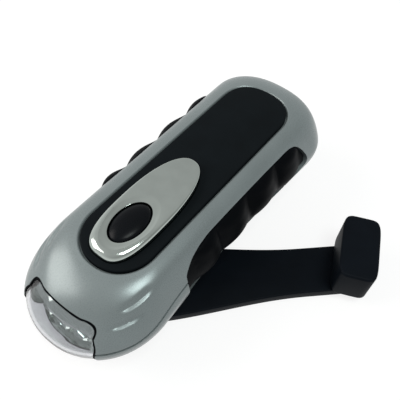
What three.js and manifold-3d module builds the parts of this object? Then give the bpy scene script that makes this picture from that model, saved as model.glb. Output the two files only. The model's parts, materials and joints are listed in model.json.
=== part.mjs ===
// Hand crank flashlight, in millimetres with Z up. The nose points to -Y and the tail to +Y.
// The origin is on the crank's axis, level with the underside of the crank arm.

import * as THREE from 'three';
import { mergeVertices } from 'three/addons/utils/BufferGeometryUtils.js';
import Module from 'manifold-3d';

const wasm = await Module();
wasm.setup();

// Fits shared by all pieces
const clearance = 0.3;
const overrun = 6;
const wall = 2;

// Sides of small, middle and large round outlines
const smallSides = 12;
const middleSides = 16;
const roundSides = 24;

// Body: heights above the table, and reach of the nose and the tail from the crank's axis
const bodyHalfWidth = 25.2;
const bodyTop = 42.3;
const bodyBottom = 5.2;
const noseReach = 38.2;
const tailReach = 95.8;
const widestHeight = 26.6;
const seamNoseHeight = 27.8;
const seamTailHeight = 31.8;
const seamRampStart = -24;
const seamRampEnd = 4;

// Level outlines of the body from the top plateau down. The shares are: drop of the body's height,
// half width, nose tip and nose start of noseReach, tail tip and tail start of tailReach.
const levelShares = [
  [0, 0.543, 0.4, 0.034, 0.862, 0.725],
  [0.0174, 0.64, 0.502, 0.072, 0.897, 0.749],
  [0.0447, 0.727, 0.596, 0.101, 0.93, 0.768],
  [0.0844, 0.797, 0.689, 0.132, 0.958, 0.787],
  [0.1365, 0.851, 0.775, 0.168, 0.973, 0.802],
  [0.211, 0.905, 0.869, 0.216, 0.985, 0.811],
  [0.298, 0.958, 0.952, 0.264, 0.994, 0.816],
  [0.397, 1, 0.997, 0.288, 0.999, 0.821],
  [0.496, 0.993, 1, 0.288, 1, 0.821],
  [0.608, 0.949, 0.966, 0.288, 0.993, 0.816],
  [0.72, 0.888, 0.909, 0.288, 0.976, 0.802],
  [0.844, 0.806, 0.821, 0.288, 0.948, 0.782],
  [0.943, 0.695, 0.702, 0.288, 0.906, 0.754],
  [1, 0.532, 0.558, 0.264, 0.862, 0.72]
];
const noseExponent = 2.1;
const tailExponent = 2.3;
// Slim waist of the lower half between nose and tail: depth, and the share that each level outline takes
const waistDepth = 1.8;
const waistShares = [0, 0, 0, 0, 0, 0, 0.1, 0.45, 0.85, 1, 1, 1, 0.6, 0];
const noseSteps = 7;
const tailSteps = 6;
const sideSteps = 5;

// Rubber grips: how far each bump's crest stands out, how deep the valleys are, and the pocket
const gripCrest = 1.6;
const gripValley = 1.2;
const gripPocketDepth = 2;
const gripFront = 2.6;
const gripBack = 74.6;
const gripTop = 39.2;
const gripFloor = 15.2;
const gripSteps = 24;
const gripInnerShare = 0.683;
const gripInner = bodyHalfWidth * gripInnerShare;
// Places of the valleys along the grip, and the share of crest and valley that each level outline takes
const valleyShares = [0.085, 0.262, 0.496, 0.739, 0.955];
const swellShares = [
  [0, 0], [0, 0], [0, 0], [0.25, 0.2], [1, 0.8], [0.85, 1], [0.6, 1],
  [0.3, 1], [0, 1.1], [-0.3, 1.2], [-0.5, 1.2], [-0.3, 0.8], [0, 0], [0, 0]
];
// Grip border as shares of its length and height, from the front foot over the top to the rear foot
const gripBorderShares = [
  [0.047, 0.072], [0.008, 0.29], [0, 0.543], [0.006, 0.754], [0.02, 0.83], [0.065, 0.92], [0.118, 0.967],
  [0.172, 0.989], [0.256, 1], [0.603, 0.995], [0.78, 0.986], [0.844, 0.982], [0.886, 0.968], [0.918, 0.935],
  [0.947, 0.859], [0.976, 0.736], [1, 0.58], [0.992, 0.453], [0.95, 0.38], [0.88, 0.326], [0.797, 0.181],
  [0.658, 0.072], [0.38, 0], [0.172, 0]
];

// Top panel and the chrome teardrop with the button in it
const panelRim = 0.3;
const panelThickness = 1.5;
const panelProud = 0.4;
const roof = 2;
const trimSink = 0.8;
const trimTop = 45.4;
const trimBevel = 0.7;
const trimHalfWidth = 9.35;
const trimMiddleY = 8;
const trimNoseLength = 20.3;
const trimTailLength = 26.7;
const trimNoseExponent = 2.9;
const trimTailExponent = 2.25;
const trimSteps = 10;
const buttonHalfWidth = 5.1;
const buttonHalfLength = 8.3;
const buttonY = 2.4;
const buttonTop = 46;
const buttonDome = 1.5;
const buttonFlange = 0.6;
const buttonGap = 0.4;
const buttonTravel = 1.2;
// Button section as shares of its radius and of the dome's height
const domeShares = [[1, 0], [0.95, 0.5], [0.8, 0.77], [0.5, 0.94], [0, 1]];
const flangeShare = 1.16;

// Lens, reflector and the row of lamps
const lensHalfWidth = 15.3;
const lensBottom = 14.5;
const lensShoulder = 28.5;
const lensBrowHalfWidth = 13;
const lensBrow = 35.4;
const lensCornerHalfWidth = 10.5;
const lensCorner = 36.9;
const lensTop = 37.6;
const lensCurveSteps = 5;
const lensSink = 0.5;
const lensThickness = 1.8;
const lampDepthShare = 0.356;
const lampDepth = noseReach * lampDepthShare;
const reflectorBack = lampDepth - noseReach;
const lampPitch = 7.4;
const lampHeight = 26.6;
const lampRadius = 2.5;
const lampFlangeRadius = 2.9;
const lampFlange = 1;
const lampLength = 7.6;
const bowlRadius = 4.1;
const lampBoardWidth = 25;
const lampBoardHeight = 12;
const boardThickness = 1.2;

// Crank: arm, hub and knob
const crankRadius = 84.2;
const armAngle = THREE.MathUtils.degToRad(44.3);
const armThickness = 4.6;
const armBevel = 0.5;
const hubRadius = 15.2;
const armEndRadius = 9.6;
const armTaperLength = 66;
const armSteps = 12;
const hubCapRadius = 7;
const hubCapThickness = 1.2;
const knobAngle = THREE.MathUtils.degToRad(23.8);
const knobHalfWidth = 7.1;
const knobHalfLength = 13.5;
const knobTop = 20;
const knobCorner = 2.4;
const knobBevel = 1;
const knobPinRadius = 2;
const knobPinFlangeRadius = 4;
const knobPinFlange = 1.2;
const knobPinBarbRadius = 2.8;
const knobPinBarb = 1.6;
const knobPinTop = 16;
const notchGap = 1.6;
const notchSides = 48;
const notchHeight = 21;

// Crank shaft with its bush and screw
const shaftRadius = 2.5;
const bushWall = 1.4;
const bushTop = 11.1;
const bossWall = 1.8;
const hubScrewHeadRadius = 3;
const hubScrewHead = 1;
const hubScrewRadius = 1.2;
const hubScrewTop = 11;
const hubWeb = 0.6;

// Gear train: three stages from the crank up to the rotor, sized to the room across the body or in its nose
const noseRoomShare = 0.66;
const worksReach = Math.min(bodyHalfWidth, noseReach * noseRoomShare);
const coarseModuleShare = 0.0317;
const fineModuleShare = 0.0238;
const crankTeeth = 40;
const firstPinionTeeth = 12;
const firstWheelTeeth = 40;
const secondPinionTeeth = 10;
const secondWheelTeeth = 36;
const rotorTeeth = 10;
const coarseModule = worksReach * coarseModuleShare;
const fineModule = worksReach * fineModuleShare;
const pressureAngle = THREE.MathUtils.degToRad(25);
const addendumShare = 0.8;
const dedendumShare = 1.1;
const backlash = 0.12;
const straightFlankTeeth = 20;
const crankGearBottom = 11.6;
const crankGearFace = 3;
const wheelFace = 2;
const wheelGap = 0.6;
const pinRadius = 1;
const pinSeat = 1.3;
const plateThickness = 1.2;
const plateShare = 0.552;
const plateHalfWidth = worksReach * plateShare;
const plateCorner = 4;
const postRadius = 2.3;
const postInset = 2.5;
const frameScrewRadius = 1;
const frameScrewHeadRadius = 1.9;
const frameScrewHead = 1;
const frameScrewGrip = 7;

// Generator: magnet on the rotor, coil in its can, and the bridge that holds the rotor's top end
const magnetShare = 0.262;
const canShare = 0.496;
const magnetRadius = worksReach * magnetShare;
const canRadius = worksReach * canShare;
const canHeight = 7.5;
const canSheet = 0.8;
const airGap = 0.6;
const coilWidth = 2.4;
const bridgeHalfWidth = 3.2;
const bridgeThickness = 1;

// Switch under the button
const switchBoardHalfWidth = 8;
const switchBoardHalfLength = 9;
const switchHalfWidth = 3;
const switchTop = 36.2;
const plungerRadius = 1.1;
const plungerTop = 37.6;

// Battery of three button cells in a holder on the gear frame
const cellRadius = 5.8;
const cellLength = 5.3;
const cellCount = 3;
const batterySetback = 12.6;
const holderWall = 1.2;
const holderHeight = 6.5;
const contactThickness = 0.5;

// Case screws: places of the front and rear pairs across the body, from the gear frame and along the tail
const caseFrontShare = 0.643;
const caseFrontSetback = 7;
const caseRearShare = 0.524;
const caseRearAlong = 0.585;
const caseBossRadius = 3.1;
const caseScrewRadius = 1.1;
const caseScrewHeadRadius = 2.2;
const caseScrewHead = 1.6;
const caseScrewLength = 26;
const caseHeadDepth = 6.4;

// Finishes as colour, roughness and metalness
const finishes = {
  silver: [0x9da2a3, 0.35, 0.55],
  black: [0x14191d, 0.6, 0],
  softBlack: [0x171c21, 0.8, 0],
  rubber: [0x15181b, 0.85, 0],
  chrome: [0xd4d8d9, 0.08, 1],
  clear: [0xdfe6e8, 0.05, 0],
  lamp: [0xf2f4f2, 0.1, 0],
  board: [0x2f6b45, 0.6, 0],
  steel: [0xb4b6b8, 0.3, 1],
  nylon: [0xe6e2d4, 0.55, 0],
  copper: [0xb06a3c, 0.35, 1],
  magnet: [0x55585c, 0.4, 0.8]
};

const flashlight = new THREE.Group();

// Turns a closed three.js geometry into a solid that can be cut and joined
function solid(geometry) {
  const bare = geometry.clone();
  for (const name of Object.keys(bare.attributes)) {
    if (name !== 'position') bare.deleteAttribute(name);
  }
  const merged = mergeVertices(bare, 1e-4);
  return new wasm.Manifold(new wasm.Mesh({
    numProp: 3,
    vertProperties: new Float32Array(merged.attributes.position.array),
    triVerts: new Uint32Array(merged.index.array)
  }));
}

// Adds a finished solid to the model under its name
function piece(name, body, finish) {
  const mesh = body.getMesh();
  const geometry = new THREE.BufferGeometry();
  geometry.setAttribute('position', new THREE.BufferAttribute(new Float32Array(mesh.vertProperties), 3));
  geometry.setIndex(new THREE.BufferAttribute(new Uint32Array(mesh.triVerts), 1));
  geometry.computeVertexNormals();
  const [color, roughness, metalness] = finishes[finish];
  const result = new THREE.Mesh(geometry, new THREE.MeshStandardMaterial({ color, roughness, metalness }));
  result.name = name;
  flashlight.add(result);
  return result;
}

function cutAll(body, cutters) {
  return cutters.reduce((rest, cutter) => rest.subtract(cutter), body);
}

function joinAll(bodies) {
  return bodies.reduce((all, body) => all.add(body));
}

// Upright round bar
function post(radius, bottom, top, x = 0, y = 0, sides = middleSides) {
  const bar = new THREE.CylinderGeometry(radius, radius, top - bottom, sides);
  bar.rotateX(Math.PI / 2);
  bar.translate(x, y, (top + bottom) / 2);
  return solid(bar);
}

function block(x0, x1, y0, y1, z0, z1) {
  const box = new THREE.BoxGeometry(x1 - x0, y1 - y0, z1 - z0);
  box.translate((x0 + x1) / 2, (y0 + y1) / 2, (z0 + z1) / 2);
  return solid(box);
}

// Flat outline raised from one height to another, with an optional bevel inside those heights
function raised(outline, bottom, top, bevel = 0) {
  const slab = new THREE.ExtrudeGeometry(outline, {
    depth: top - bottom - bevel * 2,
    bevelEnabled: bevel > 0,
    bevelThickness: bevel,
    bevelSize: bevel,
    bevelOffset: -bevel,
    bevelSegments: 1,
    curveSegments: 8
  });
  slab.translate(0, 0, bottom + bevel);
  return solid(slab);
}

// Round piece from pairs of radius and height
function turned(profile, sides = middleSides) {
  const lathe = new THREE.LatheGeometry(profile.map(([r, z]) => new THREE.Vector2(r, z)), sides);
  lathe.rotateX(Math.PI / 2);
  return lathe;
}

function closedShape(points) {
  return new THREE.Shape(points.map(([x, y]) => new THREE.Vector2(x, y)));
}

function ellipseShape(halfWidth, halfLength, y) {
  const shape = new THREE.Shape();
  shape.absellipse(0, y, halfWidth, halfLength, 0, Math.PI * 2);
  return shape;
}

function roundedRectangle(x0, x1, y0, y1, corner) {
  const shape = new THREE.Shape();
  shape.moveTo(x0 + corner, y0);
  shape.lineTo(x1 - corner, y0);
  shape.absarc(x1 - corner, y0 + corner, corner, -Math.PI / 2, 0);
  shape.lineTo(x1, y1 - corner);
  shape.absarc(x1 - corner, y1 - corner, corner, 0, Math.PI / 2);
  shape.lineTo(x0 + corner, y1);
  shape.absarc(x0 + corner, y1 - corner, corner, Math.PI / 2, Math.PI);
  shape.lineTo(x0, y0 + corner);
  shape.absarc(x0 + corner, y0 + corner, corner, Math.PI, Math.PI * 1.5);
  return shape;
}

// How far the side of the body draws in at a share of the way from nose to tail
function waist(share, level) {
  return waistDepth * waistShares[level] * Math.sin(Math.PI * share);
}

// Level outline of the body, drawn in by an inset, with an optional swell added along the sides
function bodyOutline(level, inset, steps, swell) {
  const [, widthShare, noseTipShare, noseStartShare, tailTipShare, tailStartShare] = levelShares[level];
  const halfWidth = bodyHalfWidth * widthShare - inset;
  const noseStart = -noseReach * noseStartShare;
  const noseLength = noseReach * (noseTipShare - noseStartShare) - inset;
  const tailStart = tailReach * tailStartShare;
  const tailLength = tailReach * (tailTipShare - tailStartShare) - inset;
  const right = [];
  for (let i = 0; i <= noseSteps; i += 1) {
    const turn = i / noseSteps * Math.PI / 2;
    const out = i === 0 ? 0 : Math.sin(turn) ** (2 / noseExponent);
    const along = i === noseSteps ? 0 : Math.cos(turn) ** (2 / noseExponent);
    right.push([halfWidth * out, noseStart - noseLength * along]);
  }
  for (let i = 1; i < steps; i += 1) {
    const y = noseStart + (tailStart - noseStart) * i / steps;
    right.push([halfWidth - waist(i / steps, level) + swell(y, level), y]);
  }
  for (let i = 0; i <= tailSteps; i += 1) {
    const turn = i / tailSteps * Math.PI / 2;
    const out = i === tailSteps ? 0 : Math.cos(turn) ** (2 / tailExponent);
    const along = i === 0 ? 0 : Math.sin(turn) ** (2 / tailExponent);
    right.push([halfWidth * out, tailStart + tailLength * along]);
  }
  const left = right.slice(1, -1).reverse().map(([x, y]) => [-x, y]);
  return right.concat(left);
}

// Height of a level outline, drawn towards the widest line by the same inset
function levelHeight(level, inset) {
  const height = bodyTop - levelShares[level][0] * (bodyTop - bodyBottom);
  const reach = height > widestHeight ? bodyTop - widestHeight : widestHeight - bodyBottom;
  return widestHeight + (height - widestHeight) * (1 - inset / reach);
}

// The whole body as one closed skin through its level outlines
function bodySkin(inset, steps = sideSteps, swell = () => 0) {
  const rings = levelShares.map((shares, level) => {
    const z = levelHeight(level, inset);
    return bodyOutline(level, inset, steps, swell).map(([x, y]) => [x, y, z]);
  });
  const count = rings[0].length;
  const points = rings.flat();
  const faces = [];
  for (let ring = 0; ring < rings.length - 1; ring += 1) {
    for (let i = 0; i < count; i += 1) {
      const next = (i + 1) % count;
      const upper = ring * count;
      const lower = upper + count;
      faces.push(upper + i, lower + i, lower + next, upper + i, lower + next, upper + next);
    }
  }
  const caps = [[0, 1], [rings.length - 1, -1]];
  for (const [ring, side] of caps) {
    const start = ring * count;
    for (let i = 1; i < count - 1; i += 1) {
      const far = side > 0 ? [start + i, start + i + 1] : [start + i + 1, start + i];
      faces.push(start, far[0], far[1]);
    }
  }
  const skin = new THREE.BufferGeometry();
  skin.setAttribute('position', new THREE.Float32BufferAttribute(points.flat(), 3));
  skin.setIndex(faces);
  return solid(skin);
}

// Shape in the Y-Z plane raised along X, and shape in the X-Z plane raised along Y
function alongX(shape, x0, x1) {
  const slab = new THREE.ExtrudeGeometry(shape, { depth: x1 - x0, bevelEnabled: false, curveSegments: 8 });
  slab.translate(0, 0, x0);
  const turn = new THREE.Matrix4();
  turn.makeBasis(new THREE.Vector3(0, 1, 0), new THREE.Vector3(0, 0, 1), new THREE.Vector3(1, 0, 0));
  slab.applyMatrix4(turn);
  return solid(slab);
}

function alongY(shape, y0, y1, curveSegments) {
  const slab = new THREE.ExtrudeGeometry(shape, { depth: y1 - y0, bevelEnabled: false, curveSegments });
  slab.rotateX(Math.PI / 2);
  slab.translate(0, y1, 0);
  return solid(slab);
}

// Everything above or below the seam, which climbs between the nose and the grips
function seamSide(side) {
  const gap = side * clearance / 4;
  const far = side > 0 ? bodyTop + overrun : bodyBottom - overrun;
  const rampSteps = 4;
  const line = [[-noseReach - overrun, seamNoseHeight + gap]];
  for (let i = 0; i <= rampSteps; i += 1) {
    const share = i / rampSteps;
    const climb = share * share * (3 - 2 * share);
    const y = seamRampStart + (seamRampEnd - seamRampStart) * share;
    line.push([y, seamNoseHeight + (seamTailHeight - seamNoseHeight) * climb + gap]);
  }
  line.push([tailReach + overrun, seamTailHeight + gap]);
  line.push([tailReach + overrun, far], [-noseReach - overrun, far]);
  return alongX(closedShape(line), -bodyHalfWidth - overrun, bodyHalfWidth + overrun);
}

// Outline of the grips seen from the side, grown by a margin about its middle
function gripWindow(margin) {
  const length = gripBack - gripFront;
  const height = gripTop - gripFloor;
  const points = gripBorderShares.map(([along, up]) => {
    const y = gripFront + along * length + (along - 0.5) * 2 * margin;
    const z = gripFloor + up * height + (up - 0.5) * 2 * margin;
    return [y, z];
  });
  const shape = closedShape(points);
  const reach = bodyHalfWidth + overrun;
  const inner = gripInner - margin;
  return alongX(shape, inner, reach).add(alongX(shape, -reach, -inner));
}

// Bulge of the grips: round bumps between the valleys
function gripSwell(y, level) {
  const length = gripBack - gripFront;
  const share = (y - gripFront) / length;
  let bump = 0;
  for (let i = 0; i < valleyShares.length - 1; i += 1) {
    const inside = (share - valleyShares[i]) / (valleyShares[i + 1] - valleyShares[i]);
    if (inside > 0 && inside < 1) bump = Math.sin(Math.PI * inside) ** 0.8;
  }
  const [crestShare, valleyShare] = swellShares[level];
  return crestShare * gripCrest * bump - valleyShare * gripValley * (1 - bump);
}

// Front window for the lens and reflector, drawn in by an inset
function lensWindow(inset, y0, y1) {
  const wide = lensHalfWidth - inset;
  const brow = lensBrowHalfWidth - inset;
  const corner = lensCornerHalfWidth - inset;
  const cornerTop = lensCorner - inset;
  const crown = lensTop * 2 - lensCorner - inset;
  const shape = new THREE.Shape();
  shape.moveTo(-wide, lensBottom + inset);
  shape.lineTo(wide, lensBottom + inset);
  shape.lineTo(wide, lensShoulder);
  shape.quadraticCurveTo(wide, (lensShoulder + lensBrow) / 2, brow, lensBrow);
  shape.quadraticCurveTo(brow, cornerTop, corner, cornerTop);
  shape.quadraticCurveTo(0, crown, -corner, cornerTop);
  shape.quadraticCurveTo(-brow, cornerTop, -brow, lensBrow);
  shape.quadraticCurveTo(-wide, (lensShoulder + lensBrow) / 2, -wide, lensShoulder);
  return alongY(shape, y0, y1, lensCurveSteps);
}

// Places of the pairs that stand at both sides
const sides = [-1, 1];
const bothSides = ([x, y]) => sides.map((side) => [side * x, y]);

// Gear train places along the body's middle line
const firstDistance = coarseModule * (crankTeeth + firstPinionTeeth) / 2;
const secondDistance = fineModule * (firstWheelTeeth + secondPinionTeeth) / 2;
const thirdDistance = fineModule * (secondWheelTeeth + rotorTeeth) / 2;
const firstY = firstDistance;
const secondY = firstY - secondDistance;
const rotorY = secondY - thirdDistance;
const crankTipRadius = coarseModule * (crankTeeth / 2 + addendumShare);
const firstTipRadius = fineModule * (firstWheelTeeth / 2 + addendumShare);

// Heights of the gear frame, stage by stage
const lowerPlateBottom = crankGearBottom + crankGearFace + wheelGap;
const lowerPlateTop = lowerPlateBottom + plateThickness;
const firstWheelBottom = lowerPlateTop + wheelGap;
const secondWheelBottom = firstWheelBottom + wheelFace + wheelGap;
const upperPlateBottom = secondWheelBottom + wheelFace + wheelGap;
const upperPlateTop = upperPlateBottom + plateThickness;
const canBottom = upperPlateTop + clearance;
const canTop = canBottom + canHeight;
const coilBottom = canBottom + canSheet + clearance;
const coilTop = canTop - canSheet - clearance;
const bridgeBottom = canTop + clearance;
const bridgeTop = bridgeBottom + bridgeThickness;
const switchBoardBottom = bridgeTop + clearance;
const switchBoardTop = switchBoardBottom + boardThickness;

// Gear frame outline and its posts
const plateFront = -crankTipRadius - postRadius - postInset / 2;
const plateBack = firstY + firstTipRadius + postInset;
const postX = plateHalfWidth - postInset;
const framePosts = [
  ...bothSides([postX, plateFront + postInset]),
  ...bothSides([postX, plateBack - postInset])
];
const casePosts = [
  ...bothSides([bodyHalfWidth * caseFrontShare, plateFront + caseFrontSetback]),
  ...bothSides([bodyHalfWidth * caseRearShare, tailReach * caseRearAlong])
];
const postHole = pinRadius + clearance;
const pinBottom = bodyBottom + wall + pinSeat;
const bushRadius = shaftRadius + clearance + bushWall;

// Swept room of the knob: the lower shell stops short of it
const knobSweep = crankRadius - Math.hypot(knobHalfWidth, knobHalfLength);
const notchRadius = knobSweep - notchGap;

// Everything behind a circle about the crank's axis, up to a height
function behindNotch(radius, height) {
  const span = bodyHalfWidth + overrun;
  return block(-span, span, 0, tailReach + overrun, -overrun, height)
    .subtract(post(radius, -overrun * 2, bodyTop, 0, 0, notchSides));
}

// Outline of the top plateau, drawn in by an inset
function flatOutline(inset) {
  return closedShape(bodyOutline(0, inset, 1, () => 0));
}

// Hollow inside both shells, with thicker walls behind the grips and the panel
function bodyHollow() {
  const behindGrips = gripPocketDepth + clearance + wall * 0.6;
  const gripWall = gripWindow(wall).subtract(bodySkin(behindGrips));
  const tailFloor = behindNotch(notchRadius - wall, notchHeight + wall);
  const panelRoof = raised(flatOutline(-wall), bodyTop - panelThickness - roof, bodyTop + overrun);
  return cutAll(bodySkin(wall), [gripWall, tailFloor, panelRoof]);
}

const hollow = bodyHollow();
const body = bodySkin(0).subtract(behindNotch(notchRadius, notchHeight));
const gripPocket = gripWindow(clearance).subtract(bodySkin(gripPocketDepth + clearance));
const windowCut = lensWindow(0, -noseReach - overrun, reflectorBack);

// Bosses that the shells grow inside, kept within the outer skin
function shellBosses(list) {
  return joinAll(list).intersect(bodySkin(wall / 2));
}

// Opening for the button through the roof, the panel and the trim
const buttonHole = raised(
  ellipseShape(buttonHalfWidth + buttonGap, buttonHalfLength + buttonGap, buttonY),
  widestHeight, bodyTop + overrun
);

// Upper shell, which takes the whole tail behind the knob's circle
{
  const casePostTop = bodyBottom + caseHeadDepth + caseScrewLength - caseScrewHead + wall;
  const panelRecess = raised(flatOutline(panelRim), bodyTop - panelThickness, bodyTop + overrun);
  const bosses = shellBosses(casePosts.map(([x, y]) => post(caseBossRadius, seamNoseHeight, bodyTop, x, y)));
  const screwHoles = casePosts.map(([x, y]) => (
    post(caseScrewRadius + clearance, bodyBottom, casePostTop, x, y, smallSides)
  ));
  const tail = behindNotch(notchRadius + clearance, bodyTop + overrun);
  const shell = body.subtract(hollow).add(bosses).intersect(seamSide(1).add(tail));
  const cuts = [panelRecess, gripPocket, windowCut, buttonHole, ...screwHoles];
  piece('upper_shell', cutAll(shell, cuts), 'silver');
}

// Lower shell: it ends in a round step where the knob swings under the tail
{
  const shaftBoss = post(bushRadius + clearance + bossWall, bodyBottom, bushTop);
  const pinBoss = post(postHole + bossWall, bodyBottom, crankGearBottom - clearance, 0, firstY);
  const legs = framePosts.map(([x, y]) => post(postRadius, bodyBottom, lowerPlateBottom - clearance, x, y));
  const caseBosses = casePosts.map(([x, y]) => post(caseBossRadius, bodyBottom, seamTailHeight, x, y));
  const inner = shellBosses([pinBoss, ...legs, ...caseBosses]);
  const tail = behindNotch(notchRadius, bodyTop + overrun);
  const shell = body.subtract(hollow).add(inner).add(shaftBoss).intersect(seamSide(-1)).subtract(tail);
  const shaftHole = post(bushRadius + clearance, -overrun, bodyTop);
  const gearRoom = post(
    crankTipRadius + clearance, crankGearBottom - clearance, lowerPlateBottom, 0, 0, roundSides
  );
  const pinHole = post(postHole, pinBottom - clearance, bodyTop, 0, firstY, smallSides);
  const frameHoles = framePosts.map(([x, y]) => (
    post(frameScrewRadius + clearance, bodyBottom + wall, bodyTop, x, y, smallSides)
  ));
  const screwHoles = casePosts.map(([x, y]) => (
    post(caseScrewRadius + clearance, -overrun, bodyTop, x, y, smallSides)
  ));
  const headHoles = casePosts.map(([x, y]) => (
    post(caseScrewHeadRadius + clearance, -overrun, bodyBottom + caseHeadDepth, x, y)
  ));
  const holes = [shaftHole, pinHole, ...frameHoles, ...screwHoles, ...headHoles];
  const cuts = [gripPocket, windowCut, gearRoom, ...holes];
  piece('lower_shell', cutAll(shell, cuts), 'silver');
}

// Rubber grips with their row of bumps
{
  const rubber = bodySkin(0, gripSteps, gripSwell)
    .intersect(gripWindow(0))
    .subtract(bodySkin(gripPocketDepth));
  const span = bodyHalfWidth + overrun;
  const leftHalf = block(-span, 0, -noseReach, tailReach, -overrun, bodyTop + overrun);
  piece('left_grip', rubber.intersect(leftHalf), 'rubber');
  piece('right_grip', rubber.subtract(leftHalf), 'rubber');
}

// Top panel with the trim sunk in it
const panelTop = bodyTop + panelProud;
function teardrop(margin) {
  const points = [];
  const halfWidth = trimHalfWidth + margin;
  for (let i = 0; i < trimSteps * 4; i += 1) {
    const turn = i / trimSteps * Math.PI / 2;
    const [across, along] = [Math.cos(turn), Math.sin(turn)];
    const length = (along > 0 ? trimTailLength : trimNoseLength) + margin;
    const power = 2 / (along > 0 ? trimTailExponent : trimNoseExponent);
    points.push([
      halfWidth * Math.sign(across) * Math.abs(across) ** power,
      trimMiddleY + length * Math.sign(along) * Math.abs(along) ** power
    ]);
  }
  return closedShape(points);
}
{
  const panelBottom = bodyTop - panelThickness + clearance;
  const slab = raised(flatOutline(panelRim + clearance), panelBottom, panelTop, panelProud / 2);
  const trimSeat = raised(teardrop(clearance), panelTop - trimSink, bodyTop + overrun);
  piece('top_panel', cutAll(slab, [trimSeat, buttonHole]), 'softBlack');
  const trim = raised(teardrop(0), panelTop - trimSink + clearance, trimTop, trimBevel);
  piece('chrome_trim', trim.subtract(buttonHole), 'chrome');
}

// Button and the switch below it
const buttonBottom = bodyTop - panelThickness - roof - clearance - buttonFlange;
{
  const shoulder = buttonBottom + buttonFlange;
  const profile = [[0, buttonBottom], [flangeShare, buttonBottom], [flangeShare, shoulder], [1, shoulder]];
  for (const [radius, rise] of domeShares) {
    profile.push([radius, buttonTop - buttonDome + rise * buttonDome]);
  }
  const button = turned(profile, roundSides);
  button.scale(buttonHalfWidth, buttonHalfLength, 1);
  button.translate(0, buttonY, 0);
  piece('button', solid(button), 'black');
  const plungerBottom = switchBoardTop + clearance + buttonTravel + clearance;
  const plunger = post(plungerRadius, plungerBottom, plungerTop, 0, buttonY, smallSides);
  piece('switch_plunger', plunger, 'nylon');
  const housing = block(
    -switchHalfWidth, switchHalfWidth, buttonY - switchHalfWidth, buttonY + switchHalfWidth,
    switchBoardTop + clearance / 2, switchTop
  );
  const wellBottom = plungerBottom - buttonTravel - clearance / 2;
  const well = post(plungerRadius + clearance, wellBottom, bodyTop, 0, buttonY, smallSides);
  piece('tact_switch', housing.subtract(well), 'black');
  const board = block(
    -switchBoardHalfWidth, switchBoardHalfWidth, buttonY - switchBoardHalfLength,
    buttonY + switchBoardHalfLength, switchBoardBottom, switchBoardTop
  );
  piece('switch_board', board, 'board');
}

// Lens, reflector and lamps
{
  const front = -noseReach - overrun;
  const lens = bodySkin(lensSink).subtract(bodySkin(lensSink + lensThickness))
    .intersect(lensWindow(clearance, front, reflectorBack));
  piece('lens', lens, 'clear');
  const bowlEnd = reflectorBack - overrun * 2;
  const holeRadius = lampRadius + clearance;
  const bowls = [-1, 0, 1].map((place) => {
    const bowl = turned([
      [0, reflectorBack + overrun], [holeRadius, reflectorBack + overrun],
      [holeRadius, reflectorBack - lampFlange], [bowlRadius, bowlEnd], [0, bowlEnd]
    ].map(([r, y]) => [r, -y]));
    bowl.rotateX(Math.PI / 2);
    bowl.translate(place * lampPitch, 0, lampHeight);
    return solid(bowl);
  });
  const plated = bodySkin(lensSink + lensThickness + clearance)
    .intersect(lensWindow(clearance * 3, front, reflectorBack));
  piece('reflector', cutAll(plated, bowls), 'chrome');
  const lampBase = reflectorBack + clearance + lampFlange;
  const names = ['lamp_left', 'lamp_middle', 'lamp_right'];
  names.forEach((name, index) => {
    const straight = lampLength - lampRadius;
    const profile = [[0, 0], [lampFlangeRadius, 0], [lampFlangeRadius, lampFlange]];
    profile.push([lampRadius, lampFlange]);
    for (let i = 0; i <= 4; i += 1) {
      const turn = i / 4 * Math.PI / 2;
      profile.push([i === 4 ? 0 : lampRadius * Math.cos(turn), straight + lampRadius * Math.sin(turn)]);
    }
    const lamp = turned(profile, smallSides);
    lamp.rotateX(Math.PI / 2);
    lamp.translate((index - 1) * lampPitch, lampBase, lampHeight);
    piece(name, solid(lamp), 'lamp');
  });
  const boardFront = lampBase + clearance;
  const board = block(
    -lampBoardWidth / 2, lampBoardWidth / 2, boardFront, boardFront + boardThickness,
    lampHeight - lampBoardHeight / 2, lampHeight + lampBoardHeight / 2
  );
  piece('lamp_board', board, 'board');
}

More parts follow.
